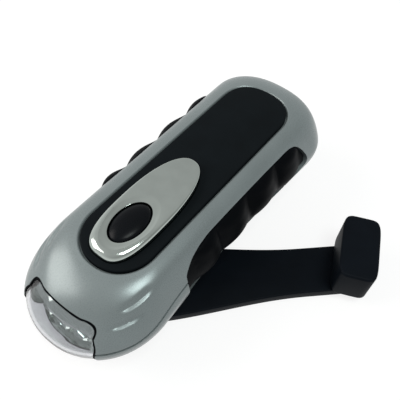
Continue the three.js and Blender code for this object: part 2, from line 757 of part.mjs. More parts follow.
// Crank arm: a wide hub that narrows in a hollow curve to a round end under the knob
const knobX = crankRadius * Math.cos(armAngle);
const knobY = crankRadius * Math.sin(armAngle);
const socketRadius = shaftRadius + clearance;
const shaftBottom = armThickness - wall / 2 + clearance;
{
  const half = (along) => {
    const share = Math.min(along / armTaperLength, 1);
    return armEndRadius + (hubRadius - armEndRadius) * (1 + Math.cos(Math.PI * share)) / 2;
  };
  const edge = [];
  const hubSteps = 14;
  for (let i = 0; i <= hubSteps; i += 1) {
    const turn = Math.PI / 2 + i / hubSteps * Math.PI;
    edge.push([hubRadius * Math.cos(turn), hubRadius * Math.sin(turn)]);
  }
  for (let i = 1; i <= armSteps; i += 1) {
    const along = armTaperLength * i / armSteps;
    edge.push([along, -half(along)]);
  }
  const endSteps = 10;
  for (let i = 0; i <= endSteps; i += 1) {
    const turn = -Math.PI / 2 + i / endSteps * Math.PI;
    edge.push([crankRadius + armEndRadius * Math.cos(turn), armEndRadius * Math.sin(turn)]);
  }
  for (let i = armSteps; i >= 1; i -= 1) {
    const along = armTaperLength * i / armSteps;
    edge.push([along, half(along)]);
  }
  const slab = raised(closedShape(edge), 0, armThickness, armBevel);
  const capDepth = hubCapThickness + clearance;
  const headDepth = capDepth + hubScrewHead + clearance * 2;
  const cuts = [
    post(hubCapRadius + clearance, -overrun, capDepth, 0, 0, roundSides),
    post(hubScrewHeadRadius + clearance, -overrun, headDepth),
    post(hubScrewRadius + clearance, -overrun, overrun),
    post(socketRadius, shaftBottom - clearance, overrun),
    post(knobPinRadius + clearance, -overrun, overrun, crankRadius),
    post(knobPinFlangeRadius + clearance, -overrun, knobPinFlange + clearance * 2, crankRadius)
  ];
  const arm = piece('crank_arm', cutAll(slab, cuts), 'black');
  arm.rotation.z = armAngle;
  piece('hub_cap', post(hubCapRadius, 0, hubCapThickness, 0, 0, roundSides), 'black');
  const headBottom = capDepth + clearance;
  const screw = post(hubScrewHeadRadius, headBottom, headBottom + hubScrewHead)
    .add(post(hubScrewRadius, headBottom, hubScrewTop));
  piece('hub_screw', screw, 'steel');
}

// Knob, which turns on a barbed pin at the end of the arm
{
  const low = armThickness + clearance;
  const outline = roundedRectangle(
    -knobHalfWidth, knobHalfWidth, -knobHalfLength, knobHalfLength, knobCorner
  );
  const barbBottom = knobPinTop - knobPinBarb;
  const socket = post(knobPinRadius + clearance, -overrun, barbBottom)
    .add(post(knobPinBarbRadius + clearance, barbBottom - clearance, knobPinTop + clearance));
  const knob = piece('knob', raised(outline, low, knobTop, knobBevel).subtract(socket), 'black');
  knob.position.set(knobX, knobY, 0);
  knob.rotation.z = knobAngle;
  const pin = joinAll([
    post(knobPinFlangeRadius, clearance, clearance + knobPinFlange),
    post(knobPinRadius, clearance, knobPinTop),
    post(knobPinBarbRadius, barbBottom, knobPinTop)
  ]);
  const placed = piece('knob_pin', pin, 'steel');
  placed.position.set(knobX, knobY, 0);
}

// Crank shaft in its bush
{
  const bore = post(hubScrewRadius + clearance, -overrun, hubScrewTop + clearance * 2);
  piece('crank_shaft', post(shaftRadius, shaftBottom, lowerPlateTop).subtract(bore), 'steel');
  const bush = post(bushRadius, bodyBottom, bushTop).subtract(post(socketRadius, -overrun, bodyTop));
  piece('shaft_bush', bush, 'nylon');
}

// Spur gear outline with involute flanks; a tooth is centred on the start angle
function gearShape(teeth, module, start) {
  const pitch = module * teeth / 2;
  const base = pitch * Math.cos(pressureAngle);
  const root = pitch - module * dedendumShare;
  const tip = pitch + module * addendumShare;
  const involute = (angle) => Math.tan(angle) - angle;
  const halfAngle = (radius) => {
    const lean = Math.acos(Math.min(base / Math.max(radius, base), 1));
    return Math.PI / teeth / 2 - backlash / pitch / 2 + involute(pressureAngle) - involute(lean);
  };
  const radii = teeth > straightFlankTeeth ? [root, tip] : [root, pitch, tip];
  const points = [];
  for (let tooth = 0; tooth < teeth; tooth += 1) {
    const middle = start + tooth / teeth * Math.PI * 2;
    const turnTo = (radius, angle) => points.push([radius * Math.cos(angle), radius * Math.sin(angle)]);
    radii.forEach((radius) => turnTo(radius, middle - halfAngle(radius)));
    [...radii].reverse().forEach((radius) => turnTo(radius, middle + halfAngle(radius)));
  }
  return closedShape(points);
}

// A gear's start angle so that it has a gap where its neighbour has a tooth
const toothUp = Math.PI / 2;
const gapStart = (teeth, angle) => angle + Math.PI / teeth;

// Crank gear and the two compound idlers on their pins
{
  const crankShape = gearShape(crankTeeth, coarseModule, toothUp);
  const gear = raised(crankShape, crankGearBottom, crankGearBottom + crankGearFace)
    .subtract(post(socketRadius, -overrun, bodyTop));
  piece('crank_gear', gear, 'nylon');

  const firstBore = post(postHole, -overrun, bodyTop);
  const firstPinion = raised(
    gearShape(firstPinionTeeth, coarseModule, gapStart(firstPinionTeeth, -toothUp)),
    crankGearBottom, firstWheelBottom + wheelFace / 2
  );
  const firstWheel = raised(
    gearShape(firstWheelTeeth, fineModule, -toothUp), firstWheelBottom, firstWheelBottom + wheelFace
  );
  const first = piece('idler_1', firstPinion.add(firstWheel).subtract(firstBore), 'nylon');
  first.position.y = firstY;
  piece('idler_1_pin', post(pinRadius, pinBottom, upperPlateTop), 'steel').position.y = firstY;

  const secondPinion = raised(
    gearShape(secondPinionTeeth, fineModule, gapStart(secondPinionTeeth, toothUp)),
    firstWheelBottom, secondWheelBottom + wheelFace / 2
  );
  const secondWheel = raised(
    gearShape(secondWheelTeeth, fineModule, -toothUp), secondWheelBottom, secondWheelBottom + wheelFace
  );
  const second = piece('idler_2', secondPinion.add(secondWheel).subtract(firstBore), 'nylon');
  second.position.y = secondY;
  piece('idler_2_pin', post(pinRadius, lowerPlateBottom, upperPlateTop), 'steel').position.y = secondY;
}

// Rotor: pinion and ring magnet on one axle
{
  const bore = post(postHole, -overrun, bodyTop + overrun);
  const pinionShape = gearShape(rotorTeeth, fineModule, gapStart(rotorTeeth, toothUp));
  const pinion = raised(pinionShape, secondWheelBottom, secondWheelBottom + wheelFace);
  const magnet = post(magnetRadius, coilBottom, coilTop, 0, 0, roundSides);
  const parts = [
    ['rotor_pinion', pinion.subtract(bore), 'steel'],
    ['rotor_magnet', magnet.subtract(bore), 'magnet'],
    ['rotor_axle', post(pinRadius, lowerPlateBottom, bridgeTop), 'steel']
  ];
  for (const [name, shape, finish] of parts) {
    piece(name, shape, finish).position.y = rotorY;
  }
}

// Stator: a can with the coil inside, and the bridge on top of it
{
  const inner = magnetRadius + airGap;
  const outer = canRadius - canSheet;
  const can = turned([
    [inner, canBottom], [canRadius, canBottom], [canRadius, canTop], [inner, canTop],
    [inner, canTop - canSheet], [outer, canTop - canSheet], [outer, canBottom + canSheet],
    [inner, canBottom + canSheet], [inner, canBottom]
  ], roundSides);
  const coilOuter = outer - clearance;
  const coilInner = coilOuter - coilWidth;
  const coil = turned([
    [coilInner, coilBottom], [coilOuter, coilBottom], [coilOuter, coilTop], [coilInner, coilTop],
    [coilInner, coilBottom]
  ], roundSides);
  const bridge = block(
    -canRadius, canRadius, -bridgeHalfWidth, bridgeHalfWidth, bridgeBottom, bridgeTop
  ).subtract(post(postHole, -overrun, bodyTop));
  const parts = [
    ['stator_can', solid(can), 'steel'],
    ['stator_coil', solid(coil), 'copper'],
    ['rotor_bridge', bridge, 'steel']
  ];
  for (const [name, shape, finish] of parts) {
    piece(name, shape, finish).position.y = rotorY;
  }
}

// Gear frame: two plates, legs between them, and four screws down into the lower shell
{
  const plate = roundedRectangle(-plateHalfWidth, plateHalfWidth, plateFront, plateBack, plateCorner);
  const screwHoles = framePosts.map(([x, y]) => (
    post(frameScrewRadius + clearance, -overrun, bodyTop, x, y, smallSides)
  ));
  const pinionRoom = coarseModule * (firstPinionTeeth / 2 + addendumShare) + clearance * 2;
  const pinHoles = [secondY, rotorY].map((y) => post(postHole, -overrun, bodyTop, 0, y, smallSides));
  const bossRoom = casePosts.map(([x, y]) => post(caseBossRadius + clearance, -overrun, bodyTop, x, y));
  const lowerHoles = [
    post(socketRadius, -overrun, bodyTop),
    post(pinionRoom, -overrun, bodyTop, 0, firstY),
    ...pinHoles, ...screwHoles, ...bossRoom
  ];
  piece('gear_plate_lower', cutAll(raised(plate, lowerPlateBottom, lowerPlateTop), lowerHoles), 'steel');
  const legs = framePosts.map(([x, y]) => post(postRadius, lowerPlateTop + clearance, upperPlateTop, x, y));
  const upper = joinAll([raised(plate, upperPlateBottom, upperPlateTop), ...legs]);
  const firstHole = post(postHole, -overrun, bodyTop, 0, firstY, smallSides);
  piece('gear_plate_upper', cutAll(upper, [firstHole, ...pinHoles, ...screwHoles, ...bossRoom]), 'nylon');
  framePosts.forEach(([x, y], index) => {
    const headBottom = upperPlateTop + clearance;
    const screwBottom = lowerPlateBottom - frameScrewGrip;
    const screw = post(frameScrewHeadRadius, headBottom, headBottom + frameScrewHead)
      .add(post(frameScrewRadius, screwBottom, headBottom + frameScrewHead / 2, 0, 0, smallSides));
    const placed = piece(`frame_screw_${index + 1}`, screw, 'steel');
    placed.position.set(x, y, 0);
  });
}

// Battery: cells end to end along X in a holder
{
  const batteryY = plateBack - batterySetback;
  const cellPitch = cellLength + clearance;
  const stack = cellPitch * cellCount + clearance;
  const holderBottom = upperPlateTop + clearance;
  const cellHeight = holderBottom + holderWall + clearance + cellRadius;
  const halfX = stack / 2 + contactThickness + clearance + holderWall;
  const halfY = cellRadius + clearance + holderWall;
  const outer = block(-halfX, halfX, -halfY, halfY, holderBottom, holderBottom + holderHeight);
  const inner = block(
    -halfX + holderWall, halfX - holderWall, -halfY + holderWall, halfY - holderWall,
    holderBottom + holderWall, bodyTop
  );
  piece('battery_holder', outer.subtract(inner), 'black').position.y = batteryY;
  for (let i = 0; i < cellCount; i += 1) {
    const cell = new THREE.CylinderGeometry(cellRadius, cellRadius, cellLength, roundSides);
    cell.rotateZ(Math.PI / 2);
    const placed = piece(`battery_cell_${i + 1}`, solid(cell), 'steel');
    placed.position.set((i - (cellCount - 1) / 2) * cellPitch, batteryY, cellHeight);
  }
  const contacts = { battery_contact_left: -1, battery_contact_right: 1 };
  for (const [name, side] of Object.entries(contacts)) {
    const near = side * (stack / 2);
    const far = side * (stack / 2 + contactThickness);
    const plate = block(
      Math.min(near, far), Math.max(near, far), -cellRadius / 2, cellRadius / 2,
      holderBottom + holderWall + clearance, cellHeight + cellRadius / 2
    );
    piece(name, plate, 'steel').position.y = batteryY;
  }
}

// Case screws, driven from below into the upper shell
casePosts.forEach(([x, y], index) => {
  const headTop = bodyBottom + caseHeadDepth - clearance;
  const headBottom = headTop - caseScrewHead;
  const screw = post(caseScrewHeadRadius, headBottom, headTop)
    .add(post(caseScrewRadius, headTop - caseScrewHead / 2, headBottom + caseScrewLength, 0, 0, smallSides));
  const placed = piece(`case_screw_${index + 1}`, screw, 'steel');
  placed.position.set(x, y, 0);
});

export default flashlight;
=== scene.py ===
"""Looks of a hand crank flashlight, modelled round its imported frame.

Everything is in metres in the frame's own axes: nose to -Y, tail to +Y, Z up, crank axis at the origin.
"""

import json
import math

import bmesh
import bpy
import numpy as np
from mathutils import Matrix, Vector


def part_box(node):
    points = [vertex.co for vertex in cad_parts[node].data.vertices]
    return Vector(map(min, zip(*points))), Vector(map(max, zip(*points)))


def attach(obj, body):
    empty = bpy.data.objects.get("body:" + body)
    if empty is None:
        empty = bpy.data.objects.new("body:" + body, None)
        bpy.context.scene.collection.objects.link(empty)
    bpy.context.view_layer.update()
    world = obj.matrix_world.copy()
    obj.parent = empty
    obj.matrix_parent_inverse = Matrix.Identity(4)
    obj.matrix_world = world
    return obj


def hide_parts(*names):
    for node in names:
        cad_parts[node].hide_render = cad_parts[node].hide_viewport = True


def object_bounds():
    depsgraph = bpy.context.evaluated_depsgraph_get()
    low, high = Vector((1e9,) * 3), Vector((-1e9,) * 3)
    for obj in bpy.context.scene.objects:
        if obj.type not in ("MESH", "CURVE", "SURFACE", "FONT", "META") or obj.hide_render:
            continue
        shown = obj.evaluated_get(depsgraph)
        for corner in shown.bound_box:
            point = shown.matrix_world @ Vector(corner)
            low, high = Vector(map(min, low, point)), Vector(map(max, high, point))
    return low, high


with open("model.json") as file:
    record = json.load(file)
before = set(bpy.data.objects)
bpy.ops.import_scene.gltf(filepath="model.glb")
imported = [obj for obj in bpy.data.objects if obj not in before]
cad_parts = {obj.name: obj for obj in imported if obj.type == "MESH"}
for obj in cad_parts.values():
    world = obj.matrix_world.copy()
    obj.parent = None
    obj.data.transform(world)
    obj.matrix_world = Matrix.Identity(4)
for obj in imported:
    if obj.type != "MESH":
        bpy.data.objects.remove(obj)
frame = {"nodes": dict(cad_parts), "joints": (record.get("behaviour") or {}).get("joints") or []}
CAD_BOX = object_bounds()

bl_info = {
    "name": "Hand Crank Flashlight",
    "version": (1, 0, 0),
    "blender": (4, 5, 0),
    "location": "View3D > Sidebar > Flashlight",
    "description": "Adds a hand crank flashlight piece by piece, with its finishes and a studio",
    "category": "Add Mesh",
}

MM = 0.001
MERGE_DISTANCE = 0.001 * MM
OVERRUN = 6 * MM
FIT = 0.3 * MM

# Places of the pieces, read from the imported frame
JOINTS = {joint["name"]: joint for joint in frame["joints"]}
_, UPPER_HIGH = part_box("upper_shell")
LOWER_LOW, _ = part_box("lower_shell")
GRIP_LOW, GRIP_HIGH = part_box("right_grip")
PANEL_LOW, PANEL_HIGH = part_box("top_panel")
TRIM_LOW, TRIM_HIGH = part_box("chrome_trim")
BUTTON_LOW, BUTTON_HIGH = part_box("button")
LENS_LOW, LENS_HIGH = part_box("lens")
ARM_LOW, ARM_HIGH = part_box("crank_arm")
KNOB_LOW, KNOB_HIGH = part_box("knob")
KNOB_PLACE = Vector(JOINTS["knob_spin"]["pos_m"])

# Body: its box in the frame, and the height at which it is widest
LENS_SINK = 0.5 * MM
HALF_WIDTH = UPPER_HIGH.x
BODY_TOP = UPPER_HIGH.z
BODY_BOTTOM = LOWER_LOW.z
TAIL_REACH = UPPER_HIGH.y
NOSE_REACH = LENS_SINK - LENS_LOW.y
WIDEST = 26.6 * MM

# Level outlines from the top plateau down. The shares are: drop of the body's height, half width,
# nose tip and nose start of the nose's reach, tail tip and tail start of the tail's reach,
# waist, and crest and valley of the grip's bumps.
LEVEL_SHARES = (
    (0, 0.543, 0.4, 0.034, 0.862, 0.725, 0, 0, 0),
    (0.0174, 0.64, 0.502, 0.072, 0.897, 0.749, 0, 0, 0),
    (0.0447, 0.727, 0.596, 0.101, 0.93, 0.768, 0, 0, 0),
    (0.0844, 0.797, 0.689, 0.132, 0.958, 0.787, 0, 0.25, 0.2),
    (0.1365, 0.851, 0.775, 0.168, 0.973, 0.802, 0, 1, 0.8),
    (0.211, 0.905, 0.869, 0.216, 0.985, 0.811, 0, 0.85, 1),
    (0.298, 0.958, 0.952, 0.264, 0.994, 0.816, 0.1, 0.6, 1),
    (0.397, 1, 0.997, 0.288, 0.999, 0.821, 0.45, 0.3, 1),
    (0.496, 0.993, 1, 0.288, 1, 0.821, 0.85, 0, 1.1),
    (0.608, 0.949, 0.966, 0.288, 0.993, 0.816, 1, -0.3, 1.2),
    (0.72, 0.888, 0.909, 0.288, 0.976, 0.802, 1, -0.5, 1.2),
    (0.844, 0.806, 0.821, 0.288, 0.948, 0.782, 1, -0.3, 0.8),
    (0.943, 0.695, 0.702, 0.288, 0.906, 0.754, 0.6, 0, 0),
    (1, 0.532, 0.558, 0.264, 0.862, 0.72, 0, 0, 0),
)
NOSE_EXPONENT = 2.1
TAIL_EXPONENT = 2.3
WAIST_DEPTH = 1.8 * MM
FINE_STEPS = {"nose": 120, "side": 72, "tail": 32, "upper": 14, "lower": 5}
PLAIN_STEPS = {"nose": 14, "side": 10, "tail": 12, "upper": 2, "lower": 2}
CREASED_GAPS = 6

# Seam between the shells: a shallow groove that climbs from the nose to the grips, and the fit behind it
SEAM_NOSE = 27.8 * MM
SEAM_TAIL = 31.8 * MM
SEAM_RAMP = (-24 * MM, 4 * MM)
SEAM_STEPS = 24
SEAM_DEPTH = 0.9 * MM
SEAM_FIT = 0.1 * MM

# Round step in the tail where the knob swings by
NOTCH_HEIGHT = 21 * MM
NOTCH_STEPS = 96
NOTCH_GAP = 1.6 * MM

# Two moulded creases on each flank of the nose. Each has its share of the depth, and the points of
# the right one in millimetres. They fade in and out over shares of their length.
CREASE_STEPS = 20
CREASE_LIP = 1.1 * MM
CREASE_FADE = 3 * MM
CREASE_START_SHARE = 0.3
CREASE_END_SHARE = 0.4
CREASES = (
    (0.78, (
        (15.4, -20.9, 38.3), (17.1, -17.9, 38.6), (18.3, -14.4, 39.1),
        (18.8, -10.5, 39.6), (18.9, -7, 40.1),
    )),
    (1.15, (
        (15.2, -26, 35.3), (17.5, -23.5, 35.3), (19.3, -20.3, 35.4),
        (20.5, -16.8, 35.8), (21, -12, 36.8),
    )),
)

# Grips: valleys along their length, and their border as shares of length and height
VALLEY_SHARES = (0.085, 0.262, 0.496, 0.739, 0.955)
GRIP_CREST = 1.6 * MM
GRIP_VALLEY = 1.2 * MM
GRIP_FULLNESS = 0.8
GRIP_POCKET = 2 * MM
GRIP_BORDER_STEPS = 5
GRIP_BORDER_SHARES = (
    (0.047, 0.072), (0.008, 0.29), (0, 0.543), (0.006, 0.754), (0.02, 0.83), (0.065, 0.92),
    (0.118, 0.967), (0.172, 0.989), (0.256, 1), (0.603, 0.995), (0.78, 0.986), (0.844, 0.982),
    (0.886, 0.968), (0.918, 0.935), (0.947, 0.859), (0.976, 0.736), (1, 0.58), (0.992, 0.453),
    (0.95, 0.38), (0.88, 0.326), (0.797, 0.181), (0.658, 0.072), (0.38, 0), (0.172, 0),
)

# Panel, trim and button on the plateau
PANEL_RIM = 0.3 * MM
LIP = 1.1 * MM
LIP_STEPS = 5
PANEL_THICKNESS = 1.5 * MM
TRIM_NOSE_EXPONENT = 2.9
TRIM_TAIL_EXPONENT = 2.25
TRIM_MIDDLE = 8 * MM
TRIM_ROLL_SHARE = 0.9
TRIM_ROLL_STEPS = 10
TRIM_ROUNDER = 0.5
DISH_HALF_WIDTH = 7.6 * MM
DISH_HALF_LENGTH = 12.1 * MM
FLANGE_SHARE = 1.16
BUTTON_GAP = 0.4 * MM
BUTTON_HOLE_SIDES = 64
BUTTON_FOOT = 0.6 * MM
BUTTON_Y = (BUTTON_LOW.y + BUTTON_HIGH.y) / 2
BUTTON_HALF_WIDTH = BUTTON_HIGH.x / FLANGE_SHARE
BUTTON_HALF_LENGTH = (BUTTON_HIGH.y - BUTTON_Y) / FLANGE_SHARE

# Front window
WINDOW_HALF_WIDTH = 16.1 * MM
WINDOW_BOTTOM = 14.5 * MM
WINDOW_SHOULDER = 28.5 * MM
BROW_HALF_WIDTH = 14.3 * MM
BROW = 33 * MM
CORNER_HALF_WIDTH = 8.2 * MM
CORNER = 37.1 * MM
CROWN = 37.6 * MM
# A dark rubber ring round the window: painted shade, standing in for the shadow in the gap between the
# lens and the shell
SHADE_RING_GAP = 0.1 * MM
SHADE_RING_WIDTH = 0.6 * MM
SHADE_RING_SINK = 0.3 * MM
SHADE_RING_DEPTH = 2 * MM
WINDOW_GAP = SHADE_RING_GAP + SHADE_RING_WIDTH + SHADE_RING_GAP / 2
LENS_THICKNESS = 1.2 * MM

# Reflector: a tray behind the window, with a bowl round each lamp
TRAY_GAP = 1.4 * MM
TRAY_WALL = 1.2 * MM
TRAY_FACE = -31.4 * MM
TRAY_FACE_RADIUS = 28 * MM
REFLECTOR_BACK = LENS_HIGH.y
BOWL_DEPTH = 5 * MM
BOWL_RADIUS = 4.5 * MM

# Lamps: clear body with its cup, chip and legs inside
LAMPS = ("lamp_left", "lamp_middle", "lamp_right")
LAMP_LOW, LAMP_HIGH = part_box("lamp_middle")
LAMP_RADIUS = LAMP_HIGH.x / FLANGE_SHARE
LAMP_LENGTH = LAMP_HIGH.y - LAMP_LOW.y
LAMP_FOOT = 1 * MM
CUP_RADIUS = 1.1 * MM
CUP_HEIGHT = 0.9 * MM
CUP_WALL = CUP_RADIUS / 6
CUP_PLACE = 4.2 * MM
CHIP_RADIUS = CUP_RADIUS * 0.7
CHIP_FLATNESS = 0.4
LEG = 0.5 * MM

# Screws: heights of their heads, radii of their shanks, their threads and tips, and shares of the head
SCREW_NUMBERS = range(1, 5)
CASE_SCREW_HEAD = 1.6 * MM
CASE_SCREW_SHANK = 1.1 * MM
FRAME_SCREW_HEAD = 1 * MM
FRAME_SCREW_SHANK = 1 * MM
HUB_SCREW_HEAD = 1 * MM
HUB_SCREW_SHANK = 1.2 * MM
THREAD_PITCH = 0.9 * MM
THREAD_ROWS = 4
THREAD_DEPTH_SHARE = 0.22
SCREW_SIDES = 16
TIP_SHARE = 0.1
TIP_TAPER_SHARE = 0.99
HEADS_PER_ROUND = 3
RECESS_REACH_SHARE = 0.55
RECESS_WIDTH_SHARE = 0.12
RECESS_DEPTH_SHARE = 0.6

# Crank
CRANK_RADIUS = math.hypot(KNOB_PLACE.x, KNOB_PLACE.y)
ARM_ANGLE = math.atan2(KNOB_PLACE.y, KNOB_PLACE.x)
ARM_THICKNESS = ARM_HIGH.z
HUB_RADIUS = -ARM_LOW.x
CAP_ROUND = 0.4 * MM
ARM_END_RADIUS = 9.6 * MM
ARM_TAPER = 66 * MM
ARM_STEPS = {"hub": 49, "side": 41, "end": 33}
KNOB_ANGLE = math.radians(23.8)
KNOB_HALF_WIDTH = 7.1 * MM
KNOB_HALF_LENGTH = 13.5 * MM
KNOB_EXPONENT = 5.5
KNOB_SIDES = 96
LEVEL_FACE = 0.9
PIN_RADIUS = 2 * MM
PIN_FLANGE_RADIUS = 4 * MM
PIN_FLANGE = 1.2 * MM
PIN_BARB_RADIUS = 2.8 * MM
PIN_BARB = 1.6 * MM
PIN_ROUND = 0.15 * MM


# Numbers and curves

def linear(hex_colour):
    """Linear red, green and blue of an sRGB hex colour."""
    shares = [int(hex_colour[i:i + 2], 16) / 255 for i in (1, 3, 5)]
    return tuple(v / 12.92 if v <= 0.04045 else ((v + 0.055) / 1.055) ** 2.4 for v in shares)


def curve_point(a, b, c, d, t):
    """Point between b and c on the smooth curve through a, b, c and d."""
    square = 2 * a - 5 * b + 4 * c - d
    cube = 3 * b - a - 3 * c + d
    return (2 * b + (c - a) * t + square * t ** 2 + cube * t ** 3) / 2


def smooth_rows(rows, counts):
    """Rows on smooth curves through the given rows, with counts steps in each gap."""
    rows = np.array(rows, float)
    first = 2 * rows[:1] - rows[1:2]
    last = 2 * rows[-1:] - rows[-2:-1]
    padded = np.concatenate([first, rows, last])
    smooth = []
    for gap, count in enumerate(counts):
        for step in range(count):
            smooth.append(curve_point(*padded[gap:gap + 4], step / count))
    smooth.append(rows[-1])
    return np.array(smooth)


def smooth_loop(points, count):
    """Closed smooth curve through points, with count steps between neighbours."""
    points = np.array(points, float)
    neighbours = [np.roll(points, shift, axis=0) for shift in (1, 0, -1, -2)]
    steps = [curve_point(*neighbours, step / count) for step in range(count)]
    return np.stack(steps, axis=1).reshape(-1, 2)


def ease(share):
    """Smooth step from 0 to 1."""
    share = np.clip(share, 0, 1)
    return share * share * (3 - 2 * share)


def signed_power(value, power):
    """A value raised to a power, with its sign kept: it makes a circle squarer."""
    return np.sign(value) * np.abs(value) ** power


def oval(half_width, half_length, middle_y, turn):
    """Points of an oval as pairs, at the given turns."""
    return np.stack([half_width * np.cos(turn), middle_y + half_length * np.sin(turn)], axis=1)


def full_turn(count):
    return np.arange(count) / count * 2 * math.pi


def teardrop(margin, rounder=0.0, count=160):
    """Outline of the trim as pairs, grown by a margin and made rounder at the nose."""
    across, along = np.cos(full_turn(count)), np.sin(full_turn(count))
    tail = along > 0
    length = np.where(tail, TRIM_HIGH.y - TRIM_MIDDLE, TRIM_MIDDLE - TRIM_LOW.y) + margin
    power = 2 / np.where(tail, TRIM_TAIL_EXPONENT, TRIM_NOSE_EXPONENT - rounder)
    x = (TRIM_HIGH.x + margin) * signed_power(across, power)
    y = TRIM_MIDDLE + length * signed_power(along, power)
    return np.stack([x, y], axis=1)


def button_hole(turn):
    """The button's opening through the trim, the panel and the roof, at the given turns."""
    return oval(BUTTON_HALF_WIDTH + BUTTON_GAP, BUTTON_HALF_LENGTH + BUTTON_GAP, BUTTON_Y, turn)


def at_height(outline, height):
    """A ring of points from an outline of pairs, at one height or at a height for each."""
    return np.column_stack([outline, np.full(len(outline), height)])


# Body surface

def no_bump(y, crest, valley):
    return y * 0


def grip_bump(y, crest, valley):
    """How far the grip stands out of the body at a place along it."""
    share = (y - GRIP_LOW.y) / (GRIP_HIGH.y - GRIP_LOW.y)
    bump = share * 0
    for start, end in zip(VALLEY_SHARES, VALLEY_SHARES[1:]):
        inside = (share - start) / (end - start)
        between = (inside > 0) & (inside < 1)
        bump = np.where(between, np.sin(math.pi * np.clip(inside, 0, 1)) ** GRIP_FULLNESS, bump)
    return crest * GRIP_CREST * bump - valley * GRIP_VALLEY * (1 - bump)


def level_ring(row, inset, steps, bump):
    """One level outline of the body as pairs, nose tip first, drawn in by an inset."""
    _, width, nose_tip, nose_start, tail_tip, tail_start, waist, crest, valley = row
    half = HALF_WIDTH * width - inset
    nose = -NOSE_REACH * nose_start
    nose_length = NOSE_REACH * (nose_tip - nose_start) - inset
    tail = TAIL_REACH * tail_start
    tail_length = TAIL_REACH * (tail_tip - tail_start) - inset
    turn = np.linspace(0, math.pi / 2, steps["nose"] + 1)
    nose_x = half * np.sin(turn) ** (2 / NOSE_EXPONENT)
    nose_y = nose - nose_length * np.abs(np.cos(turn)) ** (2 / NOSE_EXPONENT)
    share = np.linspace(0, 1, steps["side"] + 1)[1:-1]
    side_y = nose + (tail - nose) * share
    side_x = half - WAIST_DEPTH * waist * np.sin(math.pi * share) + bump(side_y, crest, valley)
    turn = np.linspace(0, math.pi / 2, steps["tail"] + 1)
    tail_x = half * np.abs(np.cos(turn)) ** (2 / TAIL_EXPONENT)
    tail_y = tail + tail_length * np.sin(turn) ** (2 / TAIL_EXPONENT)
    across = np.concatenate([nose_x, side_x, tail_x])
    along = np.concatenate([nose_y, side_y, tail_y])
    right = np.stack([across, along], axis=1)
    right[[0, -1], 0] = 0
    left = right[-2:0:-1] * (-1, 1)
    return np.concatenate([right, left])


def level_height(drop, inset):
    """Height of a level, drawn towards the widest one by the inset."""
    height = BODY_TOP - drop * (BODY_TOP - BODY_BOTTOM)
    reach = BODY_TOP - WIDEST if height > WIDEST else WIDEST - BODY_BOTTOM
    return WIDEST + (height - WIDEST) * (1 - inset / reach)


def body_rings(inset=0.0, steps=FINE_STEPS, bump=no_bump):
    """The body's surface as an array of rings of points, from the top plateau down."""
    gaps = len(LEVEL_SHARES) - 1
    counts = [steps["upper"]] * CREASED_GAPS + [steps["lower"]] * (gaps - CREASED_GAPS)
    rings = []
    for row in smooth_rows(LEVEL_SHARES, counts):
        rings.append(at_height(level_ring(row, inset, steps, bump), level_height(row[0], inset)))
    return np.array(rings)


def ring_normals(rings):
    """Outward normals of a surface of rings."""
    round_way = np.roll(rings, -1, axis=1) - np.roll(rings, 1, axis=1)
    down = np.gradient(rings, axis=0)
    normals = np.cross(down, round_way)
    return normals / np.linalg.norm(normals, axis=2, keepdims=True)


def add_creases(rings, sizes):
    """Presses the creases into the flanks: a dip that deepens downward, and a sharp ledge below it."""
    normals = ring_normals(rings)
    moved = rings.copy()
    for depth_share, crease in CREASES:
        line = smooth_rows(np.array(crease) * MM, [CREASE_STEPS] * (len(crease) - 1))
        for side in (1, -1):
            path = line * (side, 1, 1)
            near = np.argmin(np.linalg.norm(rings[:, :, None] - path, axis=3), axis=2)
            tangent = np.gradient(path, axis=0)
            tangent /= np.linalg.norm(tangent, axis=1, keepdims=True)
            below = np.cross(tangent[near], normals) * side
            offset = rings - path[near]
            drop = np.sum(offset * below, axis=2)
            past = np.abs(np.sum(offset * tangent[near], axis=2))
            share = near / (len(path) - 1)
            fade = ease(share / CREASE_START_SHARE) * ease((1 - share) / CREASE_END_SHARE)
            fade = fade * np.exp(-(past / CREASE_LIP) ** 2)
            rise = np.clip(drop / CREASE_LIP, 0, 1)
            dip = ease((drop + CREASE_FADE) / CREASE_FADE) ** 2 * (1 - rise)
            ledge = rise * (1 - ease((drop - CREASE_LIP) / CREASE_FADE))
            depth = (ledge * sizes.crease_lip - dip * sizes.crease_depth) * fade
            moved += normals * depth[..., None] * depth_share
    return moved


# Modelling by operators

def select_only(*pieces):
    """Leaves edit mode with just these pieces selected, the first one active."""
    if bpy.context.object and bpy.context.object.mode != "OBJECT":
        bpy.ops.object.mode_set(mode="OBJECT")
    bpy.ops.object.select_all(action="DESELECT")
    for piece in pieces:
        piece.select_set(True)
    bpy.context.view_layer.objects.active = pieces[0]


def start_edit(piece):
    select_only(piece)
    bpy.ops.object.mode_set(mode="EDIT")
    bpy.ops.mesh.select_all(action="SELECT")


def end_edit():
    bpy.ops.object.mode_set(mode="OBJECT")


def added(name):
    """The primitive that was just added, under its name."""
    piece = bpy.context.object
    piece.name = name
    return piece


def pick(piece, kind, test):
    """Selects the vertices, edges or faces of the edited piece that pass a test of their middle."""
    bpy.ops.mesh.select_mode(type=kind)
    bpy.ops.mesh.select_all(action="DESELECT")
    mesh = bmesh.from_edit_mesh(piece.data)
    parts = {"VERT": mesh.verts, "EDGE": mesh.edges, "FACE": mesh.faces}[kind]
    for part in parts:
        if test(part):
            part.select_set(True)
    mesh.select_flush_mode()
    bmesh.update_edit_mesh(piece.data)


def edge_middle(edge):
    return (edge.verts[0].co + edge.verts[1].co) / 2


def place_points(piece, points):
    piece.data.vertices.foreach_set("co", np.ascontiguousarray(points, np.float32).ravel())
    piece.data.update()


